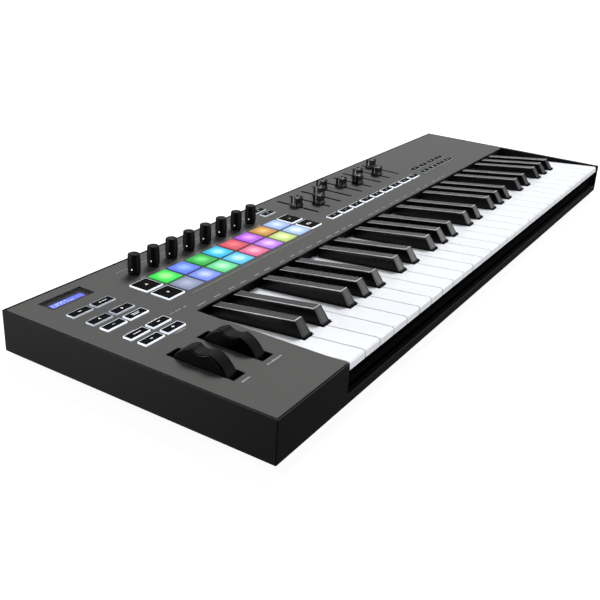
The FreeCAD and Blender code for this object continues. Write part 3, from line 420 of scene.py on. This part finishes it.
FOOT = moulded("foot_rubber", srgb("141415"), 0.8, 900.0, 0.00006, 0.25, 0.15).mat
SOCKET = moulded("socket_black", srgb("121213"), 0.45, 1100.0, 0.00003, 0.45, 0.1).mat
SURROUND = moulded("display_surround", srgb("1a1a1a"), 0.5, 1500.0, 0.00001, 0.2, 0.04, 20.0).mat
# key frame: black plastic, made darker still as painted shade under the keys
APRON = moulded("apron_black", srgb("030303"), 0.8, 900.0, 0.00003, 0.02, 0.1).mat
BOARD = moulded("board_green", srgb("1c5a35"), 0.4, 500.0, 0.00003, 0.5, 0.12).mat
STEEL = metal_finish("rolled_steel", srgb("b4b6ba"), 0.32)
TIN = metal_finish("tinned_shell", srgb("c9cbcf"), 0.26)
BLACK_STEEL = metal_finish("blackened_screw", srgb("2c2d30"), 0.35)
GLASS = glass_finish()
LIT_WHITE = lit_finish("lit_white", srgb("eef4ff"), strength=0.95)
LIT_DIM = lit_finish("lit_dim", srgb("c3cbd6"), strength=0.62)
LIT_FAINT = lit_finish("lit_faint", srgb("84898f"), strength=0.5)
LIT_BLUE = lit_finish("lit_blue", srgb("5a6ef6"), strength=1.5)
LIT_PALE = lit_finish("lit_pale", srgb("dbe4ff"), strength=1.6)
LIT_RED = lit_finish("lit_red", srgb("d0202c"), strength=0.8)
PRINT = ink_finish("print_pale", srgb("a9a9a6"))
PRINT_WHITE = ink_finish("print_white", srgb("f4f4f4"))

CAD_FINISH = {
    "bottom_case": CASE, "top_cover": PANEL, "display_window": GLASS, "display_module": SOCKET,
    "panel_board": BOARD, "main_board": BOARD, "contact_board": BOARD, "usb_socket": TIN,
    "midi_socket": SOCKET, "sustain_jack": SOCKET, "pot_bodies": STEEL, "fader_bodies": FRAME,
    "pad_sensor_sheet": SILICONE, "contact_rubber": SILICONE, "wheel_bracket": FRAME,
    "wheel_pots": STEEL, "pitch_spring": STEEL, "key_frame": APRON, "key_axle": STEEL,
    "key_springs": STEEL, "stop_felts": FELT, "rubber_feet": FOOT, "screws": BLACK_STEEL,
    "pitch_wheel": wheel_finish("wheel_rubber_pitch", "pitch_wheel"),
    "mod_wheel": wheel_finish("wheel_rubber_mod", "mod_wheel"),
}
for node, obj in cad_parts.items():
    finish = CAD_FINISH.get(node)
    if node.startswith("keys_"):
        finish = sharp_finish(node + "_satin", node) if node.endswith("_sharp") else KEY_WHITE
    if finish is not None:
        for i in range(len(obj.material_slots)):
            obj.material_slots[i].material = finish


# ---------------------------------------------------------------- mesh building
SMOOTH_BELOW = math.radians(35.0)


def piece(name, bm, body, mats, stands_for=()):
    """Makes an object of a bmesh, riding on a body; edges sharper than an angle stay crisp."""
    mesh = bpy.data.meshes.new(name)
    bmesh.ops.recalc_face_normals(bm, faces=bm.faces)
    for face in bm.faces:
        face.smooth = True
    bm.to_mesh(mesh)
    bm.free()
    mesh.set_sharp_from_angle(angle=SMOOTH_BELOW)
    for mat in mats:
        mesh.materials.append(mat)
    obj = bpy.data.objects.new(name, mesh)
    bpy.context.scene.collection.objects.link(obj)
    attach(obj, body)
    if stands_for:
        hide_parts(*stands_for)


def loft(bm, rings, mat):
    """Skins a stack of equal rings of vertices; the ends are capped."""
    faces = []
    for low, high in zip(rings, rings[1:]):
        n = len(low)
        for i in range(n):
            j = (i + 1) % n
            faces.append(bm.faces.new((low[i], low[j], high[j], high[i])))
    faces.append(bm.faces.new(rings[0][::-1]))
    faces.append(bm.faces.new(rings[-1]))
    for face in faces:
        face.material_index = mat


def oblong(w, d, r, steps=4):
    """Points of a rounded rectangle about the origin."""
    points = []
    for sx, sy, start in ((1, 1, 0), (-1, 1, 90), (-1, -1, 180), (1, -1, 270)):
        for k in range(steps + 1):
            a = math.radians(start + 90 * k / steps)
            points.append((sx * (w / 2 - r) + r * math.cos(a),
                           sy * (d / 2 - r) + r * math.sin(a)))
    return points


def ring(bm, x, y, points, z, share=1.0):
    """New vertices along an outline about a point, at a height."""
    return [bm.verts.new((x + px * share, y + py * share, z)) for px, py in points]


def brow_steps(radius, steps=4):
    """Inset and drop of each ring of a rounded top edge, from its foot up."""
    turns = [math.radians(90 * k / steps) for k in range(steps + 1)]
    return [(radius * (1 - math.cos(a)), radius * (1 - math.sin(a))) for a in turns]


def slab(bm, x, y, w, d, z0, z1, corner, brow, mat):
    """An upright block with rounded corners and a rounded top edge."""
    rings = [ring(bm, x, y, oblong(w, d, corner), z0)]
    for inset, drop in brow_steps(brow):
        r = max(corner - inset, corner * 0.2)
        rings.append(ring(bm, x, y, oblong(w - 2 * inset, d - 2 * inset, r), z1 - drop))
    loft(bm, rings, mat)


def turned(bm, x, y, profile, mat, steps=48):
    """A turned form about an upright line; profile is (radius, height)."""
    turns = [2 * math.pi * k / steps for k in range(steps)]
    rings = []
    for r, z in profile:
        rings.append(ring(bm, x, y, [(r * math.cos(a), r * math.sin(a)) for a in turns], z))
    loft(bm, rings, mat)


MARK_THICK = 0.12 * MM


def plate(bm, points, z, mat, thick=MARK_THICK):
    """A flat mark: an outline in x and y with a thickness."""
    low = [bm.verts.new((x, y, z - thick)) for x, y in points]
    high = [bm.verts.new((x, y, z)) for x, y in points]
    loft(bm, [low, high], mat)


def dash(bm, x, y, w, d, z, mat, thick=MARK_THICK):
    """A small rectangular mark."""
    plate(bm, [(x - w / 2, y - d / 2), (x + w / 2, y - d / 2),
               (x + w / 2, y + d / 2), (x - w / 2, y + d / 2)], z, mat, thick)


def label(bm, x, y, length, z, dice, tall):
    """A row of small strokes where the plate would carry a label; no letters."""
    end = x + length / 2
    at = x - length / 2
    while at < end - 0.4 * MM:
        w = min(dice.uniform(0.6, 1.7) * MM, end - at)
        h = tall * dice.choice((0.7, 0.85, 1.0))
        dash(bm, at + w / 2, y - (tall - h) / 2, w, h, z, 0)
        at += w + dice.uniform(0.3, 0.5) * MM


# ---------------------------------------------------------------- marks on the buttons
INK_LIFT = 0.04 * MM
DOT_RADIUS = 1.4 * MM

# each triangle's reach in mm and the way it points in degrees, 0 to the right
TRIANGLES = {"rear": (1.7, 90), "front": (1.7, -90), "left": (1.5, 180), "right": (1.5, 0)}

# each dash's place to the right and rear of the middle, width, depth and extra lift, in mm
DASHES = {
    "plus": ((0.0, 0.0, 2.8, 0.8, 0.0), (0.0, 0.0, 0.8, 2.8, 0.01)),
    "minus": ((0.0, 0.0, 2.8, 0.8, 0.0),),
    "bars": ((-2.6, 0.0, 1.3, 3.2, 0.0), (0.0, 0.0, 1.3, 3.2, 0.0), (2.6, 0.0, 1.3, 3.2, 0.0)),
    "strokes": ((-2.6, 0.0, 2.2, 0.9, 0.0), (0.4, 0.0, 2.8, 0.9, 0.0), (3.2, 0.0, 1.8, 0.9, 0.0)),
    "lines": ((0.0, 0.9, 8.4, 0.7, 0.0), (-0.6, -0.9, 6.4, 0.7, 0.0)),
    "square": ((0.0, 0.0, 2.4, 2.4, 0.0),),
    "small": ((0.0, 0.0, 3.4, 0.8, 0.0),),
}


def polygon(bm, x, y, radius, sides, start, z, mat):
    """A regular flat mark; start is the way of its first corner in degrees."""
    turns = [math.radians(start + 360 * k / sides) for k in range(sides)]
    plate(bm, [(x + radius * math.cos(a), y + radius * math.sin(a)) for a in turns], z, mat)


def chevron(bm, x, y, size, z, mat):
    """An open arrow head pointing to the right."""
    t = size * 0.42
    back, tip = x - size / 2, x + size / 2
    plate(bm, [(back, y + size), (back - t, y + size), (tip - t, y),
               (back - t, y - size), (back, y - size), (tip, y)], z, mat)


def mark(bm, kind, x, y, z, mat):
    """One generic sign on a button."""
    z = z + INK_LIFT
    if kind in TRIANGLES:
        reach, way = TRIANGLES[kind]
        polygon(bm, x, y, reach * MM, 3, way, z, mat)
    elif kind == "dot":
        polygon(bm, x, y, DOT_RADIUS, 16, 0, z, mat)
    elif kind == "chevron":
        chevron(bm, x, y, 1.5 * MM, z, mat)
    else:
        for dx, dy, w, d, lift in DASHES[kind]:
            dash(bm, x + dx * MM, y + dy * MM, w * MM, d * MM, z + lift * MM, mat)


CAP_MATS = [CAP_BLACK, LIT_WHITE, LIT_DIM, LIT_FAINT, PRINT_WHITE, LIT_RED, PRINT]
CAP, BRIGHT, DIM, FAINT, SIGN, RED, PALE = range(len(CAP_MATS))


def buttons(node, looks):
    """One group of lit buttons; looks gives each one's light guide, sign and ink."""
    bm = bmesh.new()
    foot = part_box(node)[0].z
    for (lo, hi), (guide, sign, ink) in zip(islands(node, ABOVE_PLATE), looks):
        x, y, w, d = spans(lo, hi)
        top = hi.z
        slab(bm, x, y, w, d, PLATE_UNDER, top - 0.3 * MM, 0.7 * MM, 0.15 * MM, guide)
        slab(bm, x, y, w - 1.5 * MM, d - 1.5 * MM, top - 0.8 * MM, top, 0.5 * MM, 0.25 * MM, CAP)
        slab(bm, x, y, 3.0 * MM, 3.0 * MM, foot, PLATE_UNDER + 0.2 * MM, 0.3 * MM, 0.1 * MM, guide)
        mark(bm, sign, x, y, top, ink)
    piece(node + "_lit", bm, node, CAP_MATS, (node,))


buttons("left_buttons", [
    (DIM, "small", SIGN), (DIM, "strokes", SIGN), (DIM, "left", SIGN), (DIM, "right", SIGN),
    (BRIGHT, "minus", PALE), (BRIGHT, "lines", SIGN), (BRIGHT, "strokes", SIGN),
    (BRIGHT, "small", SIGN), (BRIGHT, "minus", SIGN), (BRIGHT, "plus", SIGN)])
buttons("pad_buttons", [
    (DIM, "small", PALE), (DIM, "small", PALE), (BRIGHT, "rear", SIGN),
    (BRIGHT, "chevron", SIGN), (BRIGHT, "front", SIGN), (BRIGHT, "bars", SIGN)])
buttons("fader_buttons", [(BRIGHT, "small", PALE)] * 9)
buttons("transport_buttons", [
    (FAINT, "small", PALE), (FAINT, "small", PALE), (FAINT, "strokes", PALE),
    (FAINT, "small", PALE), (FAINT, "right", SIGN), (FAINT, "square", SIGN),
    (FAINT, "dot", RED), (FAINT, "strokes", PALE)])


# ---------------------------------------------------------------- pads
# the colour at the rim and in the core of each pad's light, from left to right
PAD_LOOKS = {
    "pads_rear": (
        ("1fd84a", "b8ffa0"), ("5a78e8", "9cc0ff"), ("22a83c", "7cf08c"), ("18b4dc", "b4fcff"),
        ("cc4a5c", "e87a80"), ("a850dc", "eca8ff"), ("b8863c", "f0c070"), ("98b0e4", "d4e8ff")),
    "pads_front": (
        ("8088a4", "a8b4d0"), ("7088ec", "c8dcff"), ("58d088", "c8ffd8"), ("50bce8", "d4fcff"),
        ("d8608c", "ffb8cc"), ("b070e0", "f4d0ff"), ("b4cc78", "f4ffb8"), ("a0bcec", "ecf8ff")),
}
PAD_BROW = 0.6 * MM
PAD_CROWN_MM = 0.25


def pads(node):
    """One row of pads with a slightly crowned top, each with its own colour of light."""
    bm = bmesh.new()
    mats = []
    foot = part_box(node)[0].z
    for i, (lo, hi) in enumerate(islands(node, ABOVE_PLATE)):
        edge, core = (srgb(code) for code in PAD_LOOKS[node][i])
        x, y, w, d = spans(lo, hi)
        name = "%s_glow_%d" % (node, i + 1)
        mats.append(pad_finish(name, (x, y, hi.z), edge, core, w * 0.62))
        rings = [ring(bm, x, y, oblong(w, d, 1.3 * MM), PLATE_UNDER)]
        for inset, drop in brow_steps(PAD_BROW):
            outline = oblong(w - 2 * inset, d - 2 * inset, 1.3 * MM - inset * 0.6)
            rings.append(ring(bm, x, y, outline, hi.z - PAD_CROWN_MM * MM - drop))
        face = oblong(w - 2 * PAD_BROW, d - 2 * PAD_BROW, 1.0 * MM)
        for share, rise in ((0.85, 0.1), (0.6, 0.18), (0.3, 0.24)):
            rings.append(ring(bm, x, y, face, hi.z - (PAD_CROWN_MM - rise) * MM, share))
        loft(bm, rings, i)
        slab(bm, x, y, w / 2, d / 2, foot, PLATE_UNDER + 0.2 * MM, 0.8 * MM, 0.1 * MM, i)
    piece(node + "_silicone", bm, node, mats, (node,))


for row in PAD_LOOKS:
    pads(row)


# ---------------------------------------------------------------- knobs
KNOBS = 8
KNOB_FOOT = 0.9 * MM
KNOB_BROW = 1.1 * MM
# the way the dots face, and their height above the plate
DOT_WAY = math.atan2(-0.319, -0.866)
DOT_HEIGHT = 6.2 * MM
# share of the height and inset in mm of the body's barrel, widest below its middle
KNOB_BODY = ((0.14, 0.34), (0.26, 0.2), (0.4, 0.14), (0.55, 0.18), (0.7, 0.3), (0.82, 0.42),
             (0.9, 0.5))
# share of the top's radius and sink in mm
KNOB_DISH = ((0.92, 0.04), (0.86, 0.22), (0.6, 0.34), (0.3, 0.4), (0.05, 0.42))
# share of the dot's size and lift in mm
KNOB_DOT = ((1.0, -0.3), (1.0, 0.02), (0.92, 0.1), (0.6, 0.16), (0.15, 0.18))


def knob(node):
    """A turned knob: rolled foot, barrel body, rolled brow, dished top, a dot on its flank."""
    lo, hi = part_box(node)
    x, y, width, _ = spans(lo, hi)
    r0 = width / 2
    r1 = r0 - 0.55 * MM
    z0, z1 = lo.z, hi.z
    h = z1 - z0
    profile = [(r0 - 1.9 * MM, z0)]
    for inset, drop in brow_steps(KNOB_FOOT)[::-1]:
        profile.append((r1 - inset, z0 + drop))
    for share, inset in KNOB_BODY:
        profile.append((r0 - inset * MM, z0 + share * h))
    for inset, drop in brow_steps(KNOB_BROW, 6)[1:]:
        profile.append((r1 - inset, z1 - drop))
    for share, sink in KNOB_DISH:
        profile.append(((r1 - KNOB_BROW) * share, z1 - sink * MM))
    bm = bmesh.new()
    turned(bm, x, y, profile, 0)
    dot_z = TOP + DOT_HEIGHT
    rings = []
    for size, out in KNOB_DOT:
        r = r0 - 0.22 * MM + out * MM
        verts = []
        for k in range(16):
            a = 2 * math.pi * k / 16
            side, rise = 0.7 * MM * size * math.cos(a), 0.9 * MM * size * math.sin(a)
            turn = DOT_WAY + side / r
            verts.append(bm.verts.new((x + r * math.cos(turn), y + r * math.sin(turn),
                                       dot_z + rise)))
        rings.append(verts)
    loft(bm, rings, 1)
    piece(node + "_cap", bm, node, [KNOB_BLACK, PRINT_WHITE], (node,))


for i in range(KNOBS):
    knob("knob_%d" % (i + 1))


# ---------------------------------------------------------------- faders
FADERS = 9
GRIP_BROW = 0.9 * MM
DISH_RADIUS, DISH = 8.2 * MM, 2.2 * MM
LINE_HALF, LINE_LIFT, LINE_SINK = 0.34 * MM, 0.05 * MM, 0.25 * MM
# share of the height, of the width and of the depth: flared foot, pinched waist, fuller brow
GRIP_FORM = ((0.0, 1.0, 1.0), (0.10, 1.0, 1.0), (0.2, 0.96, 0.9), (0.32, 0.92, 0.82),
             (0.6, 0.9, 0.83), (0.85, 0.9, 0.86), (1.0, 0.9, 0.87))


def grip_size(t, w, d):
    """Width and depth of a fader grip at a share of its height, from those of its foot."""
    for (t0, w0, d0), (t1, w1, d1) in zip(GRIP_FORM, GRIP_FORM[1:]):
        if t <= t1:
            k = (t - t0) / (t1 - t0)
            return w * (w0 + (w1 - w0) * k), d * (d0 + (d1 - d0) * k)
    raise ValueError(t)


def saddle(px):
    """Height of a grip's hollow top, below its ends, at a distance from its middle."""
    reach = min(abs(px), DISH_RADIUS * 0.99)
    return min(0.0, -DISH + DISH_RADIUS - math.sqrt(DISH_RADIUS ** 2 - reach ** 2))


def index_path(foot, h):
    """The way of the index line up one side of a grip, over its top and down: (x, height)."""
    path = []
    for t in (0.24, 0.32, 0.45, 0.6, 0.75, 0.88):
        w, _ = grip_size(t, *foot)
        path.append((-w / 2, t * (h + saddle(w / 2))))
    w, _ = grip_size(1.0, *foot)
    for inset, drop in brow_steps(GRIP_BROW, 5):
        edge = w / 2 - inset
        path.append((-edge, h + saddle(edge) - drop))
    for share in (0.75, 0.5, 0.25):
        px = (w / 2 - GRIP_BROW) * share
        path.append((-px, h + saddle(px)))
    return path + [(0.0, h + saddle(0.0))] + [(-px, pz) for px, pz in path[::-1]]


def fader(node):
    """A saddle-topped grip with a pale index line over it, on its steel blade."""
    lo, hi = max(islands(node), key=lambda b: b[1].z)
    x, y, *foot = spans(lo, hi)
    z0, z1 = lo.z, hi.z
    h = z1 - z0
    bm = bmesh.new()

    def course(w, d, corner, height, share=1.0):
        """One ring of the grip; its height depends on the distance from the middle."""
        return [bm.verts.new((x + px * share, y + py * share, height(px * share)))
                for px, py in oblong(w, d, corner, 5)]

    rings = []
    for t in (0.0, 0.03, 0.10, 0.15, 0.2, 0.26, 0.32, 0.45, 0.6, 0.75, 0.88):
        w, d = grip_size(t, *foot)
        pull = 0.3 * MM if t == 0.0 else 0.0
        rings.append(course(w - pull, d - pull, 1.5 * MM,
                            lambda px: z0 + t * (h + saddle(px))))
    w, d = grip_size(1.0, *foot)
    for inset, drop in brow_steps(GRIP_BROW, 5):
        rings.append(course(w - 2 * inset, d - 2 * inset, 1.5 * MM - inset * 0.7,
                            lambda px: z1 + saddle(px) - drop))
    for share in (0.8, 0.6, 0.4, 0.2, 0.05):
        rings.append(course(w - 2 * GRIP_BROW, d - 2 * GRIP_BROW, 1.0 * MM,
                            lambda px: z1 + saddle(px), share))
    loft(bm, rings, 0)

    path = index_path(foot, h)
    rings = []
    for i, (px, pz) in enumerate(path):
        ax, az = path[max(i - 1, 0)]
        bx, bz = path[min(i + 1, len(path) - 1)]
        tangent = Vector((bx - ax, bz - az)).normalized()
        nx, nz = -tangent.y, tangent.x
        rings.append([bm.verts.new((x + px + nx * out, y + side, z0 + pz + nz * out))
                      for side, out in ((-LINE_HALF, -LINE_SINK), (-LINE_HALF, LINE_LIFT),
                                        (LINE_HALF, LINE_LIFT), (LINE_HALF, -LINE_SINK))])
    loft(bm, rings, 1)
    slab(bm, x, y, 1.2 * MM, 5.0 * MM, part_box(node)[0].z, z0 + 2.0 * MM, 0.3 * MM, 0.1 * MM, 2)
    mats = [GRIP_BLACK, PRINT, BLACK_STEEL]
    piece(node + "_grip", bm, node, mats, (node,))


for i in range(FADERS):
    fader("fader_%d" % (i + 1))


# ---------------------------------------------------------------- display
def display():
    """Lit field below the smoked window with two rows of plain blocks, not characters."""
    middle_x, middle_y, width, depth = spans(*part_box("display_window"))
    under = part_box("display_module")[1].z
    w, d = width * 0.76, depth * 0.36
    x, y = middle_x + 0.6 * MM, middle_y + 0.5 * MM
    bm = bmesh.new()
    slab(bm, middle_x, middle_y, width - 0.6 * MM, depth - 0.6 * MM,
         under - 0.3 * MM, under + 0.12 * MM, 0.6 * MM, 0.05 * MM, 2)
    slab(bm, x, y, w, d, under - 0.2 * MM, under + 0.18 * MM, 0.4 * MM, 0.03 * MM, 0)
    dice = random.Random(7)
    for row, count in ((1, 12), (-1, 16)):
        for k in range(count):
            if dice.random() < 0.2:
                continue
            px = x - w / 2 + (1.5 + 1.35 * k) * MM
            tall = dice.choice((0.9, 1.2, 1.5)) * MM
            dash(bm, px, y + row * 1.2 * MM, 0.8 * MM, tall, under + 0.22 * MM, 1, 0.08 * MM)
    piece("display_field", bm, "case", [LIT_BLUE, LIT_PALE, SURROUND])


display()


# ---------------------------------------------------------------- print on the top plate
# how far along the keys the labels run, in metres
LABEL_REACH = 0.49
SMALL_LABEL = 0.9 * MM


def plate_front():
    """y of the plate's front edge above the keys."""
    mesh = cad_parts["top_cover"].data
    return min(v.co.y for v in mesh.vertices if v.co.z > TOP - 0.1 * MM and v.co.x > 0.0)


def printed():
    """Thin pale rules and plain label strokes on the plate."""
    bm = bmesh.new()
    z = TOP + 0.03 * MM
    dice = random.Random(3)
    # rules round the knobs, with a label in front of each, and one in front of the pads
    left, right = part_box("knob_1")[0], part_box("knob_%d" % KNOBS)[1]
    dash(bm, (left.x + right.x) / 2, right.y + 7.5 * MM, right.x - left.x + 6 * MM, 0.3 * MM, z, 0)
    for i in range(KNOBS):
        lo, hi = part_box("knob_%d" % (i + 1))
        x = (lo.x + hi.x) / 2
        dash(bm, x + 12.1 * MM, hi.y + 3.5 * MM, 0.3 * MM, 7.6 * MM, z, 0)
        label(bm, x, lo.y - 4.6 * MM, 6.0 * MM, z, dice, 0.8 * MM)
    x, _, w, _ = spans(*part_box("pads_rear"))
    dash(bm, x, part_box("pads_front")[0].y - 4.2 * MM, w, 0.25 * MM, z, 0)
    # labels along the front edge of the plate, above the keys and left of them
    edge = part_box("keys_c")[0].x
    front = plate_front()
    x = edge + 6.0 * MM
    while x < edge + LABEL_REACH:
        w = dice.uniform(5.0, 10.0) * MM
        label(bm, x + w / 2, front + 4.4 * MM, w, z, dice, SMALL_LABEL)
        x += w + dice.uniform(5.0, 16.0) * MM
    for dx, w in ((-17.0, 4.5), (-9.5, 6.5), (-1.5, 3.0)):
        label(bm, edge + dx * MM, front + 11.5 * MM, w * MM, z, dice, SMALL_LABEL)
    # labels beside the left buttons
    rows = islands("left_buttons", ABOVE_PLATE)
    for k, w in ((2, 7.0), (3, 9.0), (6, 8.0), (7, 9.0)):
        lo, hi = rows[k]
        label(bm, (lo.x + hi.x) / 2, hi.y + 2.2 * MM, w * MM, z, dice, SMALL_LABEL)
    lo, hi = rows[9]
    label(bm, (lo.x + hi.x) / 2, lo.y - 2.6 * MM, 12.0 * MM, z, dice, SMALL_LABEL)
    # labels in front of the wheels
    for node, w in (("pitch_wheel", 9.0), ("mod_wheel", 18.0)):
        lo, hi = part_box(node)
        label(bm, (lo.x + hi.x) / 2, lo.y - 8.6 * MM, w * MM, z, dice, 1.3 * MM)
    piece("panel_print", bm, "case", [PRINT])


printed()

# ---------------------------------------------------------------- stage
WHITE = (1.0, 1.0, 1.0, 1.0)
FLOOR_HALF = 12.0
FLOOR_SOCKETS = {"Base Color": (0.22, 0.22, 0.22, 1.0), "Roughness": 0.9,
                 "Specular IOR Level": 0.0, "Emission Color": WHITE, "Emission Strength": 0.93}


def white_floor():
    """A floor that looks white to the camera and sends no light back to the keyboard."""
    mesh = bpy.data.meshes.new("floor")
    bm = bmesh.new()
    bmesh.ops.create_grid(bm, x_segments=1, y_segments=1, size=FLOOR_HALF)
    bm.to_mesh(mesh)
    bm.free()
    mat = bpy.data.materials.new("floor_white")
    mat.use_nodes = True
    shader = mat.node_tree.nodes["Principled BSDF"]
    for socket, value in FLOOR_SOCKETS.items():
        shader.inputs[socket].default_value = value
    mesh.materials.append(mat)
    floor = bpy.data.objects.new("floor", mesh)
    bpy.context.scene.collection.objects.link(floor)
    floor.visible_glossy = False
    floor.visible_diffuse = False


white_floor()

# a white wall far behind to the right, a dark room on the camera's side
WALL_WAY = Vector((0.72, 0.5, 0.44)).normalized()
WALL_FALL = {"From Min": 0.7, "From Max": 0.98, "To Min": 0.01, "To Max": 0.95}
ROOM_TINT = (0.97, 0.98, 1.0, 1.0)


def studio():
    """The world: brighter towards the wall as a light, plain white where the camera sees it."""
    world = bpy.data.worlds.new("studio")
    bpy.context.scene.world = world
    world.use_nodes = True
    nodes, link = world.node_tree.nodes, world.node_tree.links.new
    way = nodes.new("ShaderNodeTexCoord")
    toward = nodes.new("ShaderNodeVectorMath")
    toward.operation = "DOT_PRODUCT"
    toward.inputs[1].default_value = WALL_WAY
    link(way.outputs["Generated"], toward.inputs[0])
    fall = nodes.new("ShaderNodeMapRange")
    fall.interpolation_type = "SMOOTHSTEP"
    for socket, value in WALL_FALL.items():
        fall.inputs[socket].default_value = value
    link(toward.outputs["Value"], fall.inputs["Value"])
    room = nodes["Background"]
    room.inputs["Color"].default_value = ROOM_TINT
    link(fall.outputs["Result"], room.inputs["Strength"])
    seen = nodes.new("ShaderNodeBackground")
    seen.inputs["Color"].default_value = WHITE
    path = nodes.new("ShaderNodeLightPath")
    blend = nodes.new("ShaderNodeMixShader")
    link(path.outputs["Is Camera Ray"], blend.inputs["Fac"])
    link(room.outputs[0], blend.inputs[1])
    link(seen.outputs[0], blend.inputs[2])
    link(blend.outputs[0], nodes["World Output"].inputs["Surface"])


studio()

# name, place, point faced, width and height in metres, power in watts
LIGHTS = (
    ("key_right", (2.8, 1.35, 4.6), (0.0, 0.0, 0.0), (2.2, 2.2), 385.0),
    ("rear_high", (-0.9, 1.0, 1.7), (0.0, 0.0, 0.0), (0.9, 0.9), 6.0),
    ("left_fill", (-1.0, 0.5, 0.045), (-0.394, 0.13, 0.03), (0.4, 0.05), 9.5),
    ("front_fill", (0.5, -2.2, 0.16), (0.0, 0.0, 0.03), (1.6, 0.28), 44.0),
    ("rear_fill", (-0.5, 2.4, 0.3), (0.0, 0.1, 0.02), (1.6, 0.3), 16.0),
    ("right_front", (2.2, -1.5, 0.65), (0.0, 0.0, 0.0), (1.0, 0.8), 15.0),
)


def area_light(name, place, aim, size, power):
    """A rectangular soft light at a place, facing a point."""
    data = bpy.data.lights.new(name, "AREA")
    data.shape = "RECTANGLE"
    data.size, data.size_y = size
    data.energy = power
    lamp = bpy.data.objects.new(name, data)
    bpy.context.scene.collection.objects.link(lamp)
    lamp.location = place
    lamp.rotation_euler = (Vector(aim) - Vector(place)).to_track_quat("-Z", "Y").to_euler()


for light in LIGHTS:
    area_light(*light)

# ---------------------------------------------------------------- camera
CAMERA_AT = (-0.7734, -0.3727, 0.3348)
CAMERA_WAY = Vector((0.79968, 0.45964, -0.38631))
CAMERA_RIGHT = Vector((0.51884, -0.85281, 0.05933))
CAMERA_DOWN = Vector((-0.30218, -0.24788, -0.92046))


def photo_camera():
    """The camera that stands where the reference picture was taken from."""
    data = bpy.data.cameras.new("camera")
    data.sensor_width = 36.0
    data.lens = 50.29
    data.shift_x = -0.0392
    data.shift_y = -0.0522
    data.clip_start = 0.01
    camera = bpy.data.objects.new("camera", data)
    bpy.context.scene.collection.objects.link(camera)
    turn = Matrix((CAMERA_RIGHT, -CAMERA_DOWN, -CAMERA_WAY)).transposed()
    camera.matrix_world = Matrix.Translation(CAMERA_AT) @ turn.to_4x4()
    bpy.context.scene.camera = camera


photo_camera()
bpy.context.scene.view_settings.view_transform = "Standard"
